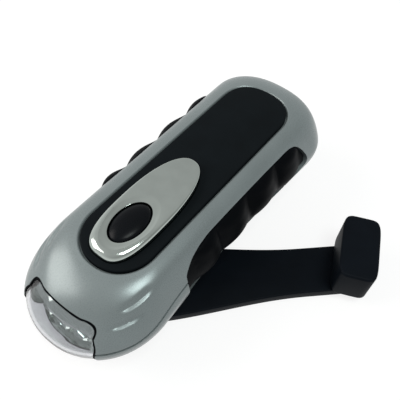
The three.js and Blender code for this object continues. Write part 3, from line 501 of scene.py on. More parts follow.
def wrapped(name, rings):
    """A grid primitive laid over rings of points, closed round and filled at both ends."""
    rows, columns = rings.shape[:2]
    bpy.ops.mesh.primitive_grid_add(x_subdivisions=columns, y_subdivisions=rows - 1, size=1)
    piece = added(name)
    place_points(piece, np.concatenate([rings, rings[:, :1]], axis=1))
    start_edit(piece)
    bpy.ops.mesh.remove_doubles(threshold=MERGE_DISTANCE)
    bpy.ops.mesh.fill_holes(sides=0)
    bpy.ops.mesh.normals_make_consistent(inside=False)
    end_edit()
    return piece


def prism(name, outline, low, high, axis="z"):
    """A flat outline of pairs, extruded along an axis from low to high."""
    bpy.ops.mesh.primitive_circle_add(vertices=len(outline), fill_type="NGON")
    piece = added(name)
    first, second = np.array(outline, float).T
    level = np.full(len(first), low)
    columns = {"x": (level, first, second), "y": (first, level, second), "z": (first, second, level)}
    place_points(piece, np.stack(columns[axis], axis=1))
    step = Vector([high - low if name_of_axis == axis else 0 for name_of_axis in "xyz"])
    start_edit(piece)
    bpy.ops.mesh.extrude_region_move(TRANSFORM_OT_translate={"value": step})
    bpy.ops.mesh.select_all(action="SELECT")
    bpy.ops.mesh.normals_make_consistent(inside=False)
    end_edit()
    return piece


def rod(name, radius, low, high, place=Vector((0, 0, 0)), sides=48):
    """Upright round bar at the place of a point."""
    middle = (place.x, place.y, (low + high) / 2)
    bpy.ops.mesh.primitive_cylinder_add(vertices=sides, radius=radius, depth=high - low, location=middle)
    bpy.ops.object.transform_apply(location=True, rotation=True, scale=True)
    return added(name)


def block(name, low, high):
    """Box between two corners."""
    low, high = Vector(low), Vector(high)
    bpy.ops.mesh.primitive_cube_add(size=1, location=(low + high) / 2, scale=high - low)
    bpy.ops.object.transform_apply(location=True, rotation=True, scale=True)
    return added(name)


def apply_modifier(piece, kind, **settings):
    """Adds a modifier with its settings and applies it."""
    select_only(piece)
    bpy.ops.object.modifier_add(type=kind)
    modifier = piece.modifiers[-1]
    for key, value in settings.items():
        setattr(modifier, key, value)
    bpy.ops.object.modifier_apply(modifier=modifier.name)


def combine(piece, other, operation="DIFFERENCE"):
    """Cuts, joins or intersects a piece with another, which is then removed."""
    apply_modifier(piece, "BOOLEAN", operation=operation, solver="EXACT", object=other)
    bpy.data.objects.remove(other)
    return piece


def duplicate(piece, name):
    select_only(piece)
    bpy.ops.object.duplicate(linked=False)
    return added(name)


def soften(piece, width, segments=2, angle=40):
    """Rounds the edges that turn by more than the angle."""
    limit = {"limit_method": "ANGLE", "angle_limit": math.radians(angle)}
    apply_modifier(piece, "BEVEL", width=width, segments=segments, **limit)


def dressed(piece, finish, slot, body, *nodes, angle=35):
    """Gives a finished piece its smooth shading, finish and body, and hides the nodes it stands for. The
    slot is not used.
    """
    select_only(piece)
    bpy.ops.object.transform_apply(location=True, rotation=True, scale=True)
    bpy.ops.object.shade_smooth_by_angle(angle=math.radians(angle))
    piece.data.materials.clear()
    piece.data.materials.append(finish)
    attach(piece, body)
    if nodes:
        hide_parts(*nodes)


# Materials

RAMP_ENDS = (0.3, 0.7)
PLASTIC_ROUGH_SPREAD = 0.06
METAL_ROUGH_SHARES = (0.8, 1.2)
STREAK_SCALE = (1, 1, 12)


def add_node(tree, kind, settings=None, links=None):
    """Adds a node. Settings are its properties or socket values, links its sockets and their sources."""
    node = tree.nodes.new(kind)
    for key, value in (settings or {}).items():
        if key in node.inputs:
            node.inputs[key].default_value = value
        else:
            setattr(node, key, value)
    for key, source in (links or {}).items():
        tree.links.new(source, node.inputs[key])
    return node


def new_material(name):
    """An empty material with its node tree and its object coordinates."""
    material = bpy.data.materials.new(name)
    material.use_nodes = True
    tree = material.node_tree
    tree.nodes.clear()
    place = add_node(tree, "ShaderNodeTexCoord").outputs["Object"]
    return material, tree, place


def per_metre(millimetres):
    """Texture scale at which a pattern repeats about every so many millimetres."""
    return 1 / (millimetres * MM)


def shaded(material, settings, links):
    """Ends a material with its shader."""
    tree = material.node_tree
    shader = add_node(tree, "ShaderNodeBsdfPrincipled", settings, links)
    add_node(tree, "ShaderNodeOutputMaterial", links={"Surface": shader.outputs["BSDF"]})
    return material


def noise(tree, place, size, detail=2.0):
    """A noise pattern of a size in millimetres."""
    settings = {"Scale": per_metre(size), "Detail": detail}
    return add_node(tree, "ShaderNodeTexNoise", settings, {"Vector": place}).outputs["Fac"]


def bumped(tree, pattern, strength, depth):
    """Surface bumps that follow a pattern, of a depth in millimetres."""
    settings = {"Strength": strength, "Distance": depth * MM}
    return add_node(tree, "ShaderNodeBump", settings, {"Height": pattern}).outputs["Normal"]


def mottled(tree, pattern, dark, light):
    """Runs a pattern between two colours."""
    ramp = add_node(tree, "ShaderNodeValToRGB", links={"Fac": pattern})
    for element, end, tone in zip(ramp.color_ramp.elements, RAMP_ENDS, (dark, light)):
        element.position = end
        element.color = (*tone, 1)
    return ramp.outputs["Color"]


def spread(tree, source, low, high, span=(0, 1)):
    """Maps a pattern from its span to a range of values."""
    settings = {"From Min": span[0], "From Max": span[1], "To Min": low, "To Max": high}
    return add_node(tree, "ShaderNodeMapRange", settings, {"Value": source}).outputs["Result"]


def darker(colour, share):
    return tuple(value * share for value in colour)


def painted_silver(finishes):
    """Metallic silver paint on ABS: a satin sheen with fine flakes, cloudy where the coat varies."""
    material, tree, place = new_material("painted_silver")
    base = tuple(finishes.silver)
    flakes = noise(tree, place, size=0.18, detail=1.0)
    return shaded(
        material,
        {"Metallic": 0.32, "Specular IOR Level": 0.2, "Coat Weight": 0.04, "Coat Roughness": 0.12},
        {
            "Base Color": mottled(tree, noise(tree, place, size=14), darker(base, 0.93), base),
            "Normal": bumped(tree, flakes, strength=0.12, depth=0.02),
            "Roughness": spread(tree, flakes, 0.24, 0.32),
        },
    )


def moulded(name, base, grain, depth, rough, shine=0.5):
    """Moulded plastic or rubber: a fine grain in the surface and a faint cloudiness in its colour."""
    material, tree, place = new_material(name)
    cloud = noise(tree, place, size=9)
    fine = noise(tree, place, grain, detail=3.0)
    return shaded(
        material, {"Specular IOR Level": shine},
        {
            "Base Color": mottled(tree, cloud, darker(base, 0.85), darker(base, 1.1)),
            "Normal": bumped(tree, fine, strength=0.5, depth=depth),
            "Roughness": spread(tree, fine, rough - PLASTIC_ROUGH_SPREAD, rough + PLASTIC_ROUGH_SPREAD),
        },
    )


def soft_touch(finishes):
    """Rubbery soft-touch lacquer: nearly black, matte, with a fine even grain."""
    base = tuple(finishes.soft_black)
    return moulded("soft_touch_lacquer", base, grain=0.25, depth=0.02, rough=0.65, shine=0.06)


def grip_rubber(finishes):
    """Moulded thermoplastic rubber: black and matte, with a slightly coarse skin."""
    return moulded("grip_rubber", tuple(finishes.rubber), grain=0.4, depth=0.03, rough=0.5, shine=0.03)


def crank_plastic(finishes):
    """Black ABS from an eroded mould: satin, with a fine spark texture."""
    return moulded("crank_abs", tuple(finishes.crank_black), grain=0.35, depth=0.02, rough=0.5, shine=0.05)


def button_plastic(finishes):
    """Black polished ABS: smooth and lightly glossy."""
    base = tuple(finishes.button_black)
    return moulded("button_abs", base, grain=0.3, depth=0.006, rough=0.28, shine=0.1)


def gear_nylon(finishes):
    """Natural nylon: creamy white with a waxy surface."""
    return moulded("gear_nylon", linear("#e9e4d5"), grain=0.5, depth=0.01, rough=0.5)


def metal(name, base, rough, streak=0.6):
    """Bare or plated metal with faint machining streaks in its gloss."""
    glossy, dull = (rough * share for share in METAL_ROUGH_SHARES)
    material, tree, place = new_material(name)
    turned = add_node(
        tree, "ShaderNodeMapping", {"Scale": STREAK_SCALE}, {"Vector": place}
    ).outputs["Vector"]
    streaks = noise(tree, turned, streak)
    return shaded(
        material, {"Metallic": 1.0},
        {
            "Base Color": mottled(tree, streaks, darker(base, 0.92), base),
            "Roughness": spread(tree, streaks, glossy, dull),
        },
    )


def chrome_plate(finishes):
    """Chrome plating on ABS: a near mirror with a very faint haze."""
    return metal("chrome_plating", tuple(finishes.chrome), rough=0.12, streak=6)


def reflector_plate(finishes):
    """Aluminium vapour plating of the reflector: a clean mirror."""
    return metal("reflector_plating", tuple(finishes.chrome), rough=0.04, streak=6)


def steel(finishes):
    """Zinc plated steel of the screws and pins: bright with a dull haze."""
    return metal("zinc_plated_steel", linear("#b9bbbd"), rough=0.3)


def copper(finishes):
    """Enamelled copper winding: a warm metal with the fine rows of its wire."""
    return metal("enamelled_copper", linear("#b5693c"), rough=0.35, streak=0.4)


def phosphor(finishes):
    """Silicone with phosphor over the lamp's chip: a dense yellow with a dull skin."""
    return moulded("lamp_phosphor", linear("#d8c352"), grain=0.3, depth=0.01, rough=0.6)


def magnet(finishes):
    """Nickel plated magnet: dark grey metal with a soft gloss."""
    return metal("nickel_plating", linear("#6a6d70"), rough=0.3)


def clear_plastic(name, base):
    """Injection moulded clear plastic: glossy, with a trace of ripple in its gloss."""
    material, tree, place = new_material(name)
    ripple = noise(tree, place, size=5, detail=1.0)
    return shaded(
        material, {"Base Color": (*base, 1), "Transmission Weight": 1.0, "IOR": 1.49},
        {"Roughness": spread(tree, ripple, 0.0, 0.02)},
    )


def window_plastic(finishes):
    """Clear plastic of the window, with a slight grey tint."""
    return clear_plastic("window_plastic", linear("#d0d2d5"))


def lamp_epoxy(finishes):
    """Water-clear epoxy of the lamps."""
    return clear_plastic("lamp_epoxy", linear("#f6f8f8"))


def board_laminate(finishes):
    """Green solder mask on glass laminate: glossy over a faint weave."""
    material, tree, place = new_material("green_laminate")
    weave = add_node(
        tree, "ShaderNodeTexWave", {"Scale": per_metre(1.2), "Distortion": 0.4}, {"Vector": place}
    ).outputs["Fac"]
    return shaded(
        material, {"Roughness": 0.4, "Coat Weight": 0.4},
        {
            "Base Color": mottled(tree, noise(tree, place, size=3), linear("#255c3a"), linear("#2f7048")),
            "Normal": bumped(tree, weave, strength=0.3, depth=0.01),
        },
    )


def larger(tree, first, second):
    """The larger of two values."""
    return add_node(
        tree, "ShaderNodeMath", {"operation": "MAXIMUM"}, {0: first, 1: second}
    ).outputs["Value"]


def seen_directly(tree):
    """1 for the rays of the camera, of reflections and of clear pieces, 0 for light on surfaces."""
    path = add_node(tree, "ShaderNodeLightPath").outputs
    seen = larger(tree, path["Is Camera Ray"], path["Is Glossy Ray"])
    return larger(tree, path["Is Transmission Ray"], seen)


def floor_paper(finishes):
    """Matte paper of the studio floor, shown as a white ground that keeps the shadow."""
    material, tree, place = new_material("floor_paper")
    base = tuple(finishes.floor)
    return shaded(
        material, {"Roughness": 0.9, "Specular IOR Level": 0.0, "Emission Color": (1, 1, 1, 1)},
        {
            "Base Color": mottled(tree, noise(tree, place, size=40), darker(base, 0.99), base),
            "Emission Strength": spread(tree, seen_directly(tree), 0, finishes.floor_glow),
        },
    )


MATERIAL_MAKERS = {
    "silver": painted_silver,
    "soft_black": soft_touch,
    "rubber": grip_rubber,
    "crank": crank_plastic,
    "button": button_plastic,
    "nylon": gear_nylon,
    "chrome": chrome_plate,
    "mirror": reflector_plate,
    "steel": steel,
    "copper": copper,
    "magnet": magnet,
    "phosphor": phosphor,
    "window": window_plastic,
    "epoxy": lamp_epoxy,
    "board": board_laminate,
    "floor": floor_paper,
}
made_materials = {}


def finish(name):
    """The material of that name, made at its first use."""
    if name not in made_materials:
        made_materials[name] = MATERIAL_MAKERS[name](bpy.context.scene.flashlight_finishes)
    return made_materials[name]


# Shapes and cutters shared by the pieces

def plateau(inset):
    """Outline of the top plateau, drawn in by an inset."""
    return level_ring(LEVEL_SHARES[0], inset, FINE_STEPS, no_bump)


def window_outline(inset, count=12):
    """Outline of the front window as pairs of x and height."""
    wide = WINDOW_HALF_WIDTH - inset
    brow = BROW_HALF_WIDTH - inset
    corner = CORNER_HALF_WIDTH - inset
    corner_height = CORNER - inset
    crown = 2 * CROWN - CORNER - inset
    bend = (WINDOW_SHOULDER + BROW) / 2
    curves = (
        ((wide, WINDOW_SHOULDER), (wide, bend), (brow, BROW)),
        ((brow, BROW), (brow, corner_height), (corner, corner_height)),
        ((corner, corner_height), (0, crown), (-corner, corner_height)),
        ((-corner, corner_height), (-brow, corner_height), (-brow, BROW)),
        ((-brow, BROW), (-wide, bend), (-wide, WINDOW_SHOULDER)),
    )
    points = [(-wide, WINDOW_BOTTOM + inset), (wide, WINDOW_BOTTOM + inset)]
    for start, handle, end in curves:
        for step in range(count):
            t = step / count
            weights = ((1 - t) ** 2, 2 * t * (1 - t), t ** 2)
            points.append(tuple(np.dot(weights, (start, handle, end))))
    points.append((-wide, WINDOW_SHOULDER))
    return points


def window_cutter(inset, back):
    return prism("window_cutter", window_outline(inset), -NOSE_REACH - OVERRUN, back, "y")


def button_cutter():
    outline = button_hole(full_turn(BUTTON_HOLE_SIDES))
    return prism("button_hole", outline, WIDEST, BODY_TOP + OVERRUN)


def grip_cutter(margin, side):
    """Prism of the grip's border, grown by a margin, at one side of the body."""
    low, high = np.array(GRIP_LOW)[1:], np.array(GRIP_HIGH)[1:]
    shares = smooth_loop(GRIP_BORDER_SHARES, GRIP_BORDER_STEPS)
    outline = low + shares * (high - low) + (shares - 0.5) * 2 * margin
    ends = sorted((side * GRIP_LOW.x, side * (HALF_WIDTH + OVERRUN)))
    return prism("grip_cutter", outline, *ends, "x")


def behind_circle(name, radius, height):
    """Everything behind a circle about the crank's axis, up to a height."""
    span = HALF_WIDTH + OVERRUN
    reach = math.asin(span / radius)
    turns = np.linspace(-reach, reach, NOTCH_STEPS)
    outline = [(radius * math.sin(turn), radius * math.cos(turn)) for turn in turns]
    outline += [(span, TAIL_REACH + OVERRUN), (-span, TAIL_REACH + OVERRUN)]
    return prism(name, outline, -OVERRUN, height)


def notch_radius():
    """Radius of the round step that clears the swinging knob."""
    return CRANK_RADIUS - math.hypot(KNOB_HALF_WIDTH, KNOB_HALF_LENGTH) - NOTCH_GAP


def seam_cutter(side, gap):
    """Everything above (side 1) or below (side -1) the seam, kept off it by half a gap."""
    share = np.linspace(0, 1, SEAM_STEPS + 1)
    y = SEAM_RAMP[0] + (SEAM_RAMP[1] - SEAM_RAMP[0]) * share
    z = SEAM_NOSE + (SEAM_TAIL - SEAM_NOSE) * ease(share)
    front, back = -NOSE_REACH - OVERRUN, TAIL_REACH + OVERRUN
    far = BODY_TOP + OVERRUN if side > 0 else BODY_BOTTOM - OVERRUN
    line = [(front, SEAM_NOSE), *zip(y, z), (back, SEAM_TAIL)]
    line = [(along, height + side * gap / 2) for along, height in line]
    span = HALF_WIDTH + OVERRUN
    return prism("seam_cutter", [*line, (back, far), (front, far)], -span, span, "x")


def seam_groove(width):
    """The shallow groove where the shells meet, from the nose to the tail, which is all in one piece."""
    groove = combine(seam_cutter(1, -width), seam_cutter(1, width))
    combine(groove, behind_circle("tail", notch_radius(), BODY_TOP + OVERRUN))
    return combine(groove, wrapped("groove_floor", body_rings(SEAM_DEPTH, PLAIN_STEPS)))


def panel_recess():
    """Room of the panel, with a rounded lip at its rim."""
    turns = np.linspace(0, math.pi / 2, LIP_STEPS)
    rows = [(PANEL_RIM, BODY_TOP - PANEL_THICKNESS)]
    for turn in turns:
        rows.append((PANEL_RIM - LIP * (1 - math.cos(turn)), BODY_TOP - LIP * (1 - math.sin(turn))))
    rows.append((PANEL_RIM - LIP, BODY_TOP + OVERRUN))
    return wrapped("recess", np.array([at_height(plateau(inset), height) for inset, height in rows]))


def domed_stub(name, half_width, half_length, dome, rim, foot, bottom):
    """Upright stub at the origin: a dome over straight sides, and a wider foot."""
    bpy.ops.mesh.primitive_uv_sphere_add(segments=64, ring_count=40, radius=1)
    stub = added(name)
    start_edit(stub)
    bpy.ops.transform.resize(value=(half_width, half_length, dome))
    bpy.ops.transform.translate(value=(0, 0, rim))
    bpy.ops.mesh.bisect(plane_co=(0, 0, rim), plane_no=(0, 0, 1), clear_inner=True)
    pick(stub, "EDGE", lambda edge: edge.is_boundary)
    bpy.ops.mesh.extrude_edges_move(TRANSFORM_OT_translate={"value": (0, 0, foot - rim)})
    bpy.ops.mesh.extrude_edges_move(TRANSFORM_OT_translate={"value": (0, 0, 0)})
    bpy.ops.transform.resize(value=(FLANGE_SHARE, FLANGE_SHARE, 1))
    bpy.ops.mesh.extrude_edges_move(TRANSFORM_OT_translate={"value": (0, 0, bottom - foot)})
    bpy.ops.mesh.edge_face_add()
    bpy.ops.mesh.select_all(action="SELECT")
    bpy.ops.mesh.normals_make_consistent(inside=False)
    end_edit()
    return stub


# Pieces

class AddShells(bpy.types.Operator):
    """Adds the two silver shells of the body, with their creases, seam, window and pockets"""

    bl_idname = "flashlight.add_shells"
    bl_label = "Shells"

    def hollow(self, wall):
        """The room inside both shells."""
        room = wrapped("room", body_rings(wall, PLAIN_STEPS))
        for side in (1, -1):
            behind_grip = grip_cutter(wall, side)
            combine(behind_grip, wrapped("grip_wall", body_rings(GRIP_POCKET + wall, PLAIN_STEPS)))
            combine(room, behind_grip)
        combine(room, behind_circle("tail_floor", notch_radius() - wall, NOTCH_HEIGHT + wall))
        roof = prism("roof", plateau(-wall), BODY_TOP - PANEL_THICKNESS - wall, BODY_TOP + OVERRUN)
        return combine(room, roof)

    def both_shells(self, sizes):
        """Both shells in one: creased, hollow, and open for the window, with its pockets and seam."""
        body = wrapped("body", add_creases(body_rings(), sizes))
        combine(body, behind_circle("notch", notch_radius(), NOTCH_HEIGHT))
        combine(body, self.hollow(sizes.wall))
        for side in (1, -1):
            pocket = grip_cutter(FIT, side)
            combine(pocket, wrapped("pocket_floor", body_rings(GRIP_POCKET + FIT, PLAIN_STEPS)))
            combine(body, pocket)
        combine(body, window_cutter(0, REFLECTOR_BACK))
        return combine(body, seam_groove(sizes.seam))

    def cut_upper(self, upper):
        """Leaves what lies above the seam and the whole tail, open for the panel and the button."""
        below = seam_cutter(-1, -SEAM_FIT)
        combine(below, behind_circle("tail", notch_radius() + FIT, BODY_TOP + OVERRUN))
        combine(upper, below)
        combine(upper, panel_recess())
        combine(upper, button_cutter())

    def cut_lower(self, lower):
        """Leaves what lies below the seam, open for the bush and the screws' heads."""
        combine(lower, seam_cutter(1, -SEAM_FIT))
        combine(lower, behind_circle("tail", notch_radius(), BODY_TOP + OVERRUN))
        _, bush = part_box("shaft_bush")
        combine(lower, rod("bush_hole", bush.x + FIT, -OVERRUN, WIDEST))
        for number in SCREW_NUMBERS:
            low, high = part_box(f"case_screw_{number}")
            middle = (low + high) / 2
            radius = high.x - middle.x + FIT
            combine(lower, rod("head_hole", radius, -OVERRUN, low.z + CASE_SCREW_HEAD, middle))

    def execute(self, context):
        lower = self.both_shells(context.scene.flashlight_sizes)
        upper = duplicate(lower, "upper_cover")
        self.cut_upper(upper)
        lower.name = "lower_case"
        self.cut_lower(lower)
        dressed(upper, finish("silver"), "body_silver", "main", "upper_shell")
        dressed(lower, finish("silver"), "body_silver", "main", "lower_shell")
        return {"FINISHED"}


class AddGrips(bpy.types.Operator):
    """Adds the two rubber grips with their rows of bumps"""

    bl_idname = "flashlight.add_grips"
    bl_label = "Grips"

    def execute(self, context):
        sizes = context.scene.flashlight_sizes
        pieces = ((1, "rubber_grip_right", "right_grip"), (-1, "rubber_grip_left", "left_grip"))
        for side, name, node in pieces:
            grip = grip_cutter(0, side)
            grip.name = name
            combine(grip, wrapped("bumps", body_rings(0, FINE_STEPS, grip_bump)), "INTERSECT")
            combine(grip, wrapped("inner", body_rings(GRIP_POCKET, PLAIN_STEPS)))
            apply_modifier(grip, "REMESH", mode="VOXEL", voxel_size=sizes.rubber_grain)
            apply_modifier(grip, "SMOOTH", factor=0.5, iterations=4)
            dressed(grip, finish("rubber"), "grip_rubber", "main", node, angle=60)
        return {"FINISHED"}


class AddPanel(bpy.types.Operator):
    """Adds the matte black panel on the top"""

    bl_idname = "flashlight.add_panel"
    bl_label = "Top panel"

    def execute(self, context):
        sizes = context.scene.flashlight_sizes
        panel = prism("soft_panel", plateau(PANEL_RIM + FIT), PANEL_LOW.z, PANEL_HIGH.z)
        start_edit(panel)
        pick(panel, "EDGE", lambda edge: edge_middle(edge).z > PANEL_HIGH.z - MERGE_DISTANCE)
        bpy.ops.mesh.bevel(offset=sizes.panel_round, segments=4)
        end_edit()
        combine(panel, prism("trim_seat", teardrop(FIT / 2), TRIM_LOW.z - FIT, TRIM_HIGH.z + OVERRUN))
        combine(panel, button_cutter())
        dressed(panel, finish("soft_black"), "soft_black", "main", "top_panel")
        return {"FINISHED"}


class AddTrim(bpy.types.Operator):
    """Adds the chrome teardrop: rolled over at the nose, flat at the tail, dished round the button"""

    bl_idname = "flashlight.add_trim"
    bl_label = "Chrome trim"

    # Section of the dish from its edge to the button's hole: share of the way in, and share of its depth
    DISH_SHARES = ((0, 0), (0.06, 0.06), (0.3, 0.42), (0.6, 0.8), (0.88, 1), (0.96, 1.15), (1, 1.6))

    def execute(self, context):
        sizes = context.scene.flashlight_sizes
        outer = teardrop(0)
        nose_share = (TRIM_HIGH.y - outer[:, 1]) / (TRIM_HIGH.y - TRIM_LOW.y)
        roll = sizes.trim_edge + (sizes.trim_roll - sizes.trim_edge) * nose_share ** 2
        rings = [at_height(outer, TRIM_LOW.z)]
        for turn in np.linspace(0, math.pi / 2, TRIM_ROLL_STEPS):
            height = TRIM_HIGH.z - roll * TRIM_ROLL_SHARE * (1 - math.sin(turn))
            inward = 1 - math.cos(turn)
            rings.append(at_height(teardrop(-roll * inward, TRIM_ROUNDER * inward), height))
        inner = rings[-1][:, :2]
        angle = np.arctan2((inner[:, 1] - BUTTON_Y) / DISH_HALF_LENGTH, inner[:, 0] / DISH_HALF_WIDTH)
        edge = oval(DISH_HALF_WIDTH, DISH_HALF_LENGTH, BUTTON_Y, angle)
        hole = button_hole(angle)
        for inward, depth in self.DISH_SHARES:
            rings.append(at_height(edge + (hole - edge) * inward, TRIM_HIGH.z - sizes.trim_dish * depth))
        rings.append(at_height(hole, TRIM_LOW.z))
        rings.append(rings[0])
        trim = wrapped("chrome_teardrop", np.array(rings))
        dressed(trim, finish("chrome"), "chrome_plate", "main", "chrome_trim", angle=24)
        return {"FINISHED"}


class AddButton(bpy.types.Operator):
    """Adds the domed oval push button"""

    bl_idname = "flashlight.add_button"
    bl_label = "Button"

    def execute(self, context):
        dome = context.scene.flashlight_sizes.button_dome
        button = domed_stub(
            "push_button", BUTTON_HALF_WIDTH, BUTTON_HALF_LENGTH, dome,
            BUTTON_HIGH.z - dome, BUTTON_LOW.z + BUTTON_FOOT, BUTTON_LOW.z,
        )
        button.location.y = BUTTON_Y
        dressed(button, finish("button"), "button_black", "button", "button", angle=60)
        return {"FINISHED"}


class AddLens(bpy.types.Operator):
    """Adds the clear front window, a dark rubber ring round it as painted shade for the gap's shadow, and
    the plated reflector with its bowls
    """

    bl_idname = "flashlight.add_lens"
    bl_label = "Window and reflector"

    def add_window(self):
        window = wrapped("clear_window", body_rings(LENS_SINK))
        combine(window, window_cutter(WINDOW_GAP, REFLECTOR_BACK), "INTERSECT")
        combine(window, wrapped("inner_face", body_rings(LENS_SINK + LENS_THICKNESS)))
        dressed(window, finish("window"), "clear_lens", "main", "lens", angle=25)

    def add_shade_ring(self):
        # Painted shade: a dark rubber ring round the window stands in for the shadow in the gap between
        # the lens and the shell
        shade_ring = wrapped("window_shade_ring", body_rings(SHADE_RING_SINK))
        combine(shade_ring, window_cutter(SHADE_RING_GAP, REFLECTOR_BACK), "INTERSECT")
        combine(shade_ring, window_cutter(SHADE_RING_GAP + SHADE_RING_WIDTH, REFLECTOR_BACK + OVERRUN))
        combine(shade_ring, wrapped("shade_ring_back", body_rings(SHADE_RING_DEPTH, PLAIN_STEPS)))
        dressed(shade_ring, finish("rubber"), "grip_rubber", "main", angle=25)

    def cut_bowl(self, reflector, middle):
        """Sinks a round bowl into the reflector, with the lamp's hole in its floor."""
        place = (middle.x, TRAY_FACE, middle.z)
        bpy.ops.mesh.primitive_uv_sphere_add(segments=64, ring_count=48, radius=1, location=place)
        bpy.ops.transform.resize(value=(BOWL_RADIUS, BOWL_DEPTH, BOWL_RADIUS))
        bpy.ops.object.transform_apply(location=True, rotation=True, scale=True)
        combine(reflector, added("bowl"))
        bpy.ops.mesh.primitive_cylinder_add(
            vertices=48, radius=LAMP_RADIUS + FIT, depth=2 * BOWL_DEPTH,
            location=(middle.x, REFLECTOR_BACK, middle.z), rotation=(math.pi / 2, 0, 0),
        )
        combine(reflector, added("lamp_hole"))

    def add_reflector(self):
        reflector = wrapped("reflector_tray", body_rings(LENS_SINK + LENS_THICKNESS + FIT))
        combine(reflector, window_cutter(TRAY_GAP, REFLECTOR_BACK), "INTERSECT")
        room = window_cutter(TRAY_GAP + TRAY_WALL, REFLECTOR_BACK)
        middle = Vector((0, TRAY_FACE + TRAY_FACE_RADIUS, 0))
        combine(room, rod("tray_face", TRAY_FACE_RADIUS, 0, BODY_TOP, middle, sides=192))
        combine(reflector, room)
        for name in LAMPS:
            low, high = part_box(name)
            self.cut_bowl(reflector, (low + high) / 2)
        dressed(reflector, finish("mirror"), "chrome_plate", "main", "reflector", angle=30)

    def execute(self, context):
        self.add_window()
        self.add_shade_ring()
        self.add_reflector()
        return {"FINISHED"}


class AddLamps(bpy.types.Operator):
    """Adds the three clear lamps with their cups and yellow chips"""

    bl_idname = "flashlight.add_lamps"
    bl_label = "Lamps"

    def first_body(self):
        return domed_stub(
            "lamp_clear", LAMP_RADIUS, LAMP_RADIUS, LAMP_RADIUS, LAMP_LENGTH - LAMP_RADIUS, LAMP_FOOT, 0
        )

    def first_cup(self):
        """The metal cup on its two legs."""
        bpy.ops.mesh.primitive_cone_add(
            vertices=32, radius1=CUP_RADIUS / 2, radius2=CUP_RADIUS, depth=CUP_HEIGHT,
            location=(0, 0, CUP_PLACE),
        )
        bpy.ops.object.transform_apply(location=True, rotation=True, scale=True)
        cup = added("lamp_cup")
        start_edit(cup)
        top = CUP_PLACE + CUP_HEIGHT / 2
        pick(cup, "FACE", lambda face: face.calc_center_median().z > top - MERGE_DISTANCE)
        bpy.ops.mesh.inset(thickness=CUP_WALL)
        bpy.ops.transform.translate(value=(0, 0, -CUP_HEIGHT / 2))
        end_edit()
        legs = [
            block("lamp_leg", (near, -LEG / 2, LAMP_FOOT / 2), (near + LEG, LEG / 2, high))
            for near, high in ((-LEG / 2, CUP_PLACE), (CUP_RADIUS, top))
        ]
        select_only(cup, *legs)
        bpy.ops.object.join()
        return cup

    def first_chip(self):
        bpy.ops.mesh.primitive_uv_sphere_add(segments=24, ring_count=12, radius=CHIP_RADIUS)
        chip = added("lamp_chip")
        chip.scale.z = CHIP_FLATNESS
        chip.location.z = CUP_PLACE + CUP_HEIGHT / 4
        select_only(chip)
        bpy.ops.object.transform_apply(location=True, rotation=True, scale=True)
        return chip

    def execute(self, context):
        models = (self.first_body(), self.first_cup(), self.first_chip())
        looks = (("epoxy", "lamp_clear"), ("steel", "steel"), ("phosphor", "lamp_clear"))
        for node in LAMPS:
            low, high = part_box(node)
            middle = (low + high) / 2
            for model, (look, slot) in zip(models, looks):
                piece = duplicate(model, f"{model.name}_{node.split('_')[1]}")
                piece.rotation_euler.x = math.pi / 2
                piece.location = (middle.x, high.y, middle.z)
                nodes = (node,) if model is models[0] else ()
                dressed(piece, finish(look), slot, "main", *nodes, angle=50)
        for model in models:
            bpy.data.objects.remove(model)
        return {"FINISHED"}


class AddCrank(bpy.types.Operator):
    """Adds the crank arm and its hub cap"""

    bl_idname = "flashlight.add_crank"
    bl_label = "Crank"

    def arm_outline(self):
        """Outline of the arm along +X: hub, hollow sides and round end."""
        turns = np.linspace(math.pi / 2, math.pi * 1.5, ARM_STEPS["hub"])
        hub = [(HUB_RADIUS * math.cos(turn), HUB_RADIUS * math.sin(turn)) for turn in turns]
        along = np.linspace(0, ARM_TAPER, ARM_STEPS["side"])[1:]
        swell = (1 + np.cos(math.pi * along / ARM_TAPER)) / 2
        half = ARM_END_RADIUS + (HUB_RADIUS - ARM_END_RADIUS) * swell
        turns = np.linspace(-math.pi / 2, math.pi / 2, ARM_STEPS["end"])
        end_x = CRANK_RADIUS + ARM_END_RADIUS * np.cos(turns)
        end_y = ARM_END_RADIUS * np.sin(turns)
        return [*hub, *zip(along, -half), *zip(end_x, end_y), *zip(along[::-1], half[::-1])]

    def add_arm(self, sizes):
        """The arm at its angle, with its seats for the cap, screw, shaft and pin."""
        arm = prism("crank_lever", self.arm_outline(), 0, ARM_THICKNESS)
        start_edit(arm)
        bpy.ops.transform.rotate(value=-ARM_ANGLE, orient_axis="Z", center_override=(0, 0, 0))
        pick(arm, "EDGE", lambda edge: abs(edge.verts[0].co.z - edge.verts[1].co.z) < MERGE_DISTANCE)
        bpy.ops.mesh.bevel(offset=sizes.arm_round, segments=4)
        end_edit()
        _, cap_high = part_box("hub_cap")
        head_low, head_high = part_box("hub_screw")
        shaft_low, shaft_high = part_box("crank_shaft")
        pin_low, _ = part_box("knob_pin")
        holes = (
            rod("cap_seat", cap_high.x + FIT, -OVERRUN, cap_high.z + FIT),
            rod("head_seat", head_high.x + FIT, -OVERRUN, head_low.z + HUB_SCREW_HEAD + FIT),
            rod("shank_hole", HUB_SCREW_SHANK + FIT, -OVERRUN, OVERRUN),
            rod("shaft_socket", shaft_high.x + FIT, shaft_low.z - FIT, OVERRUN),
            rod("pin_seat", PIN_FLANGE_RADIUS + FIT, -OVERRUN, pin_low.z + PIN_FLANGE + FIT, KNOB_PLACE),
            rod("pin_hole", PIN_RADIUS + FIT, -OVERRUN, OVERRUN, KNOB_PLACE),
        )
        for hole in holes:
            combine(arm, hole)
        dressed(arm, finish("crank"), "crank_black", "crank", "crank_arm")

    def add_cap(self):
        low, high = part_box("hub_cap")
        cap = rod("hub_disc", high.x, low.z, high.z, sides=64)
        soften(cap, CAP_ROUND, 3)
        dressed(cap, finish("crank"), "crank_black", "crank", "hub_cap")

    def execute(self, context):
        self.add_arm(context.scene.flashlight_sizes)
        self.add_cap()
        return {"FINISHED"}


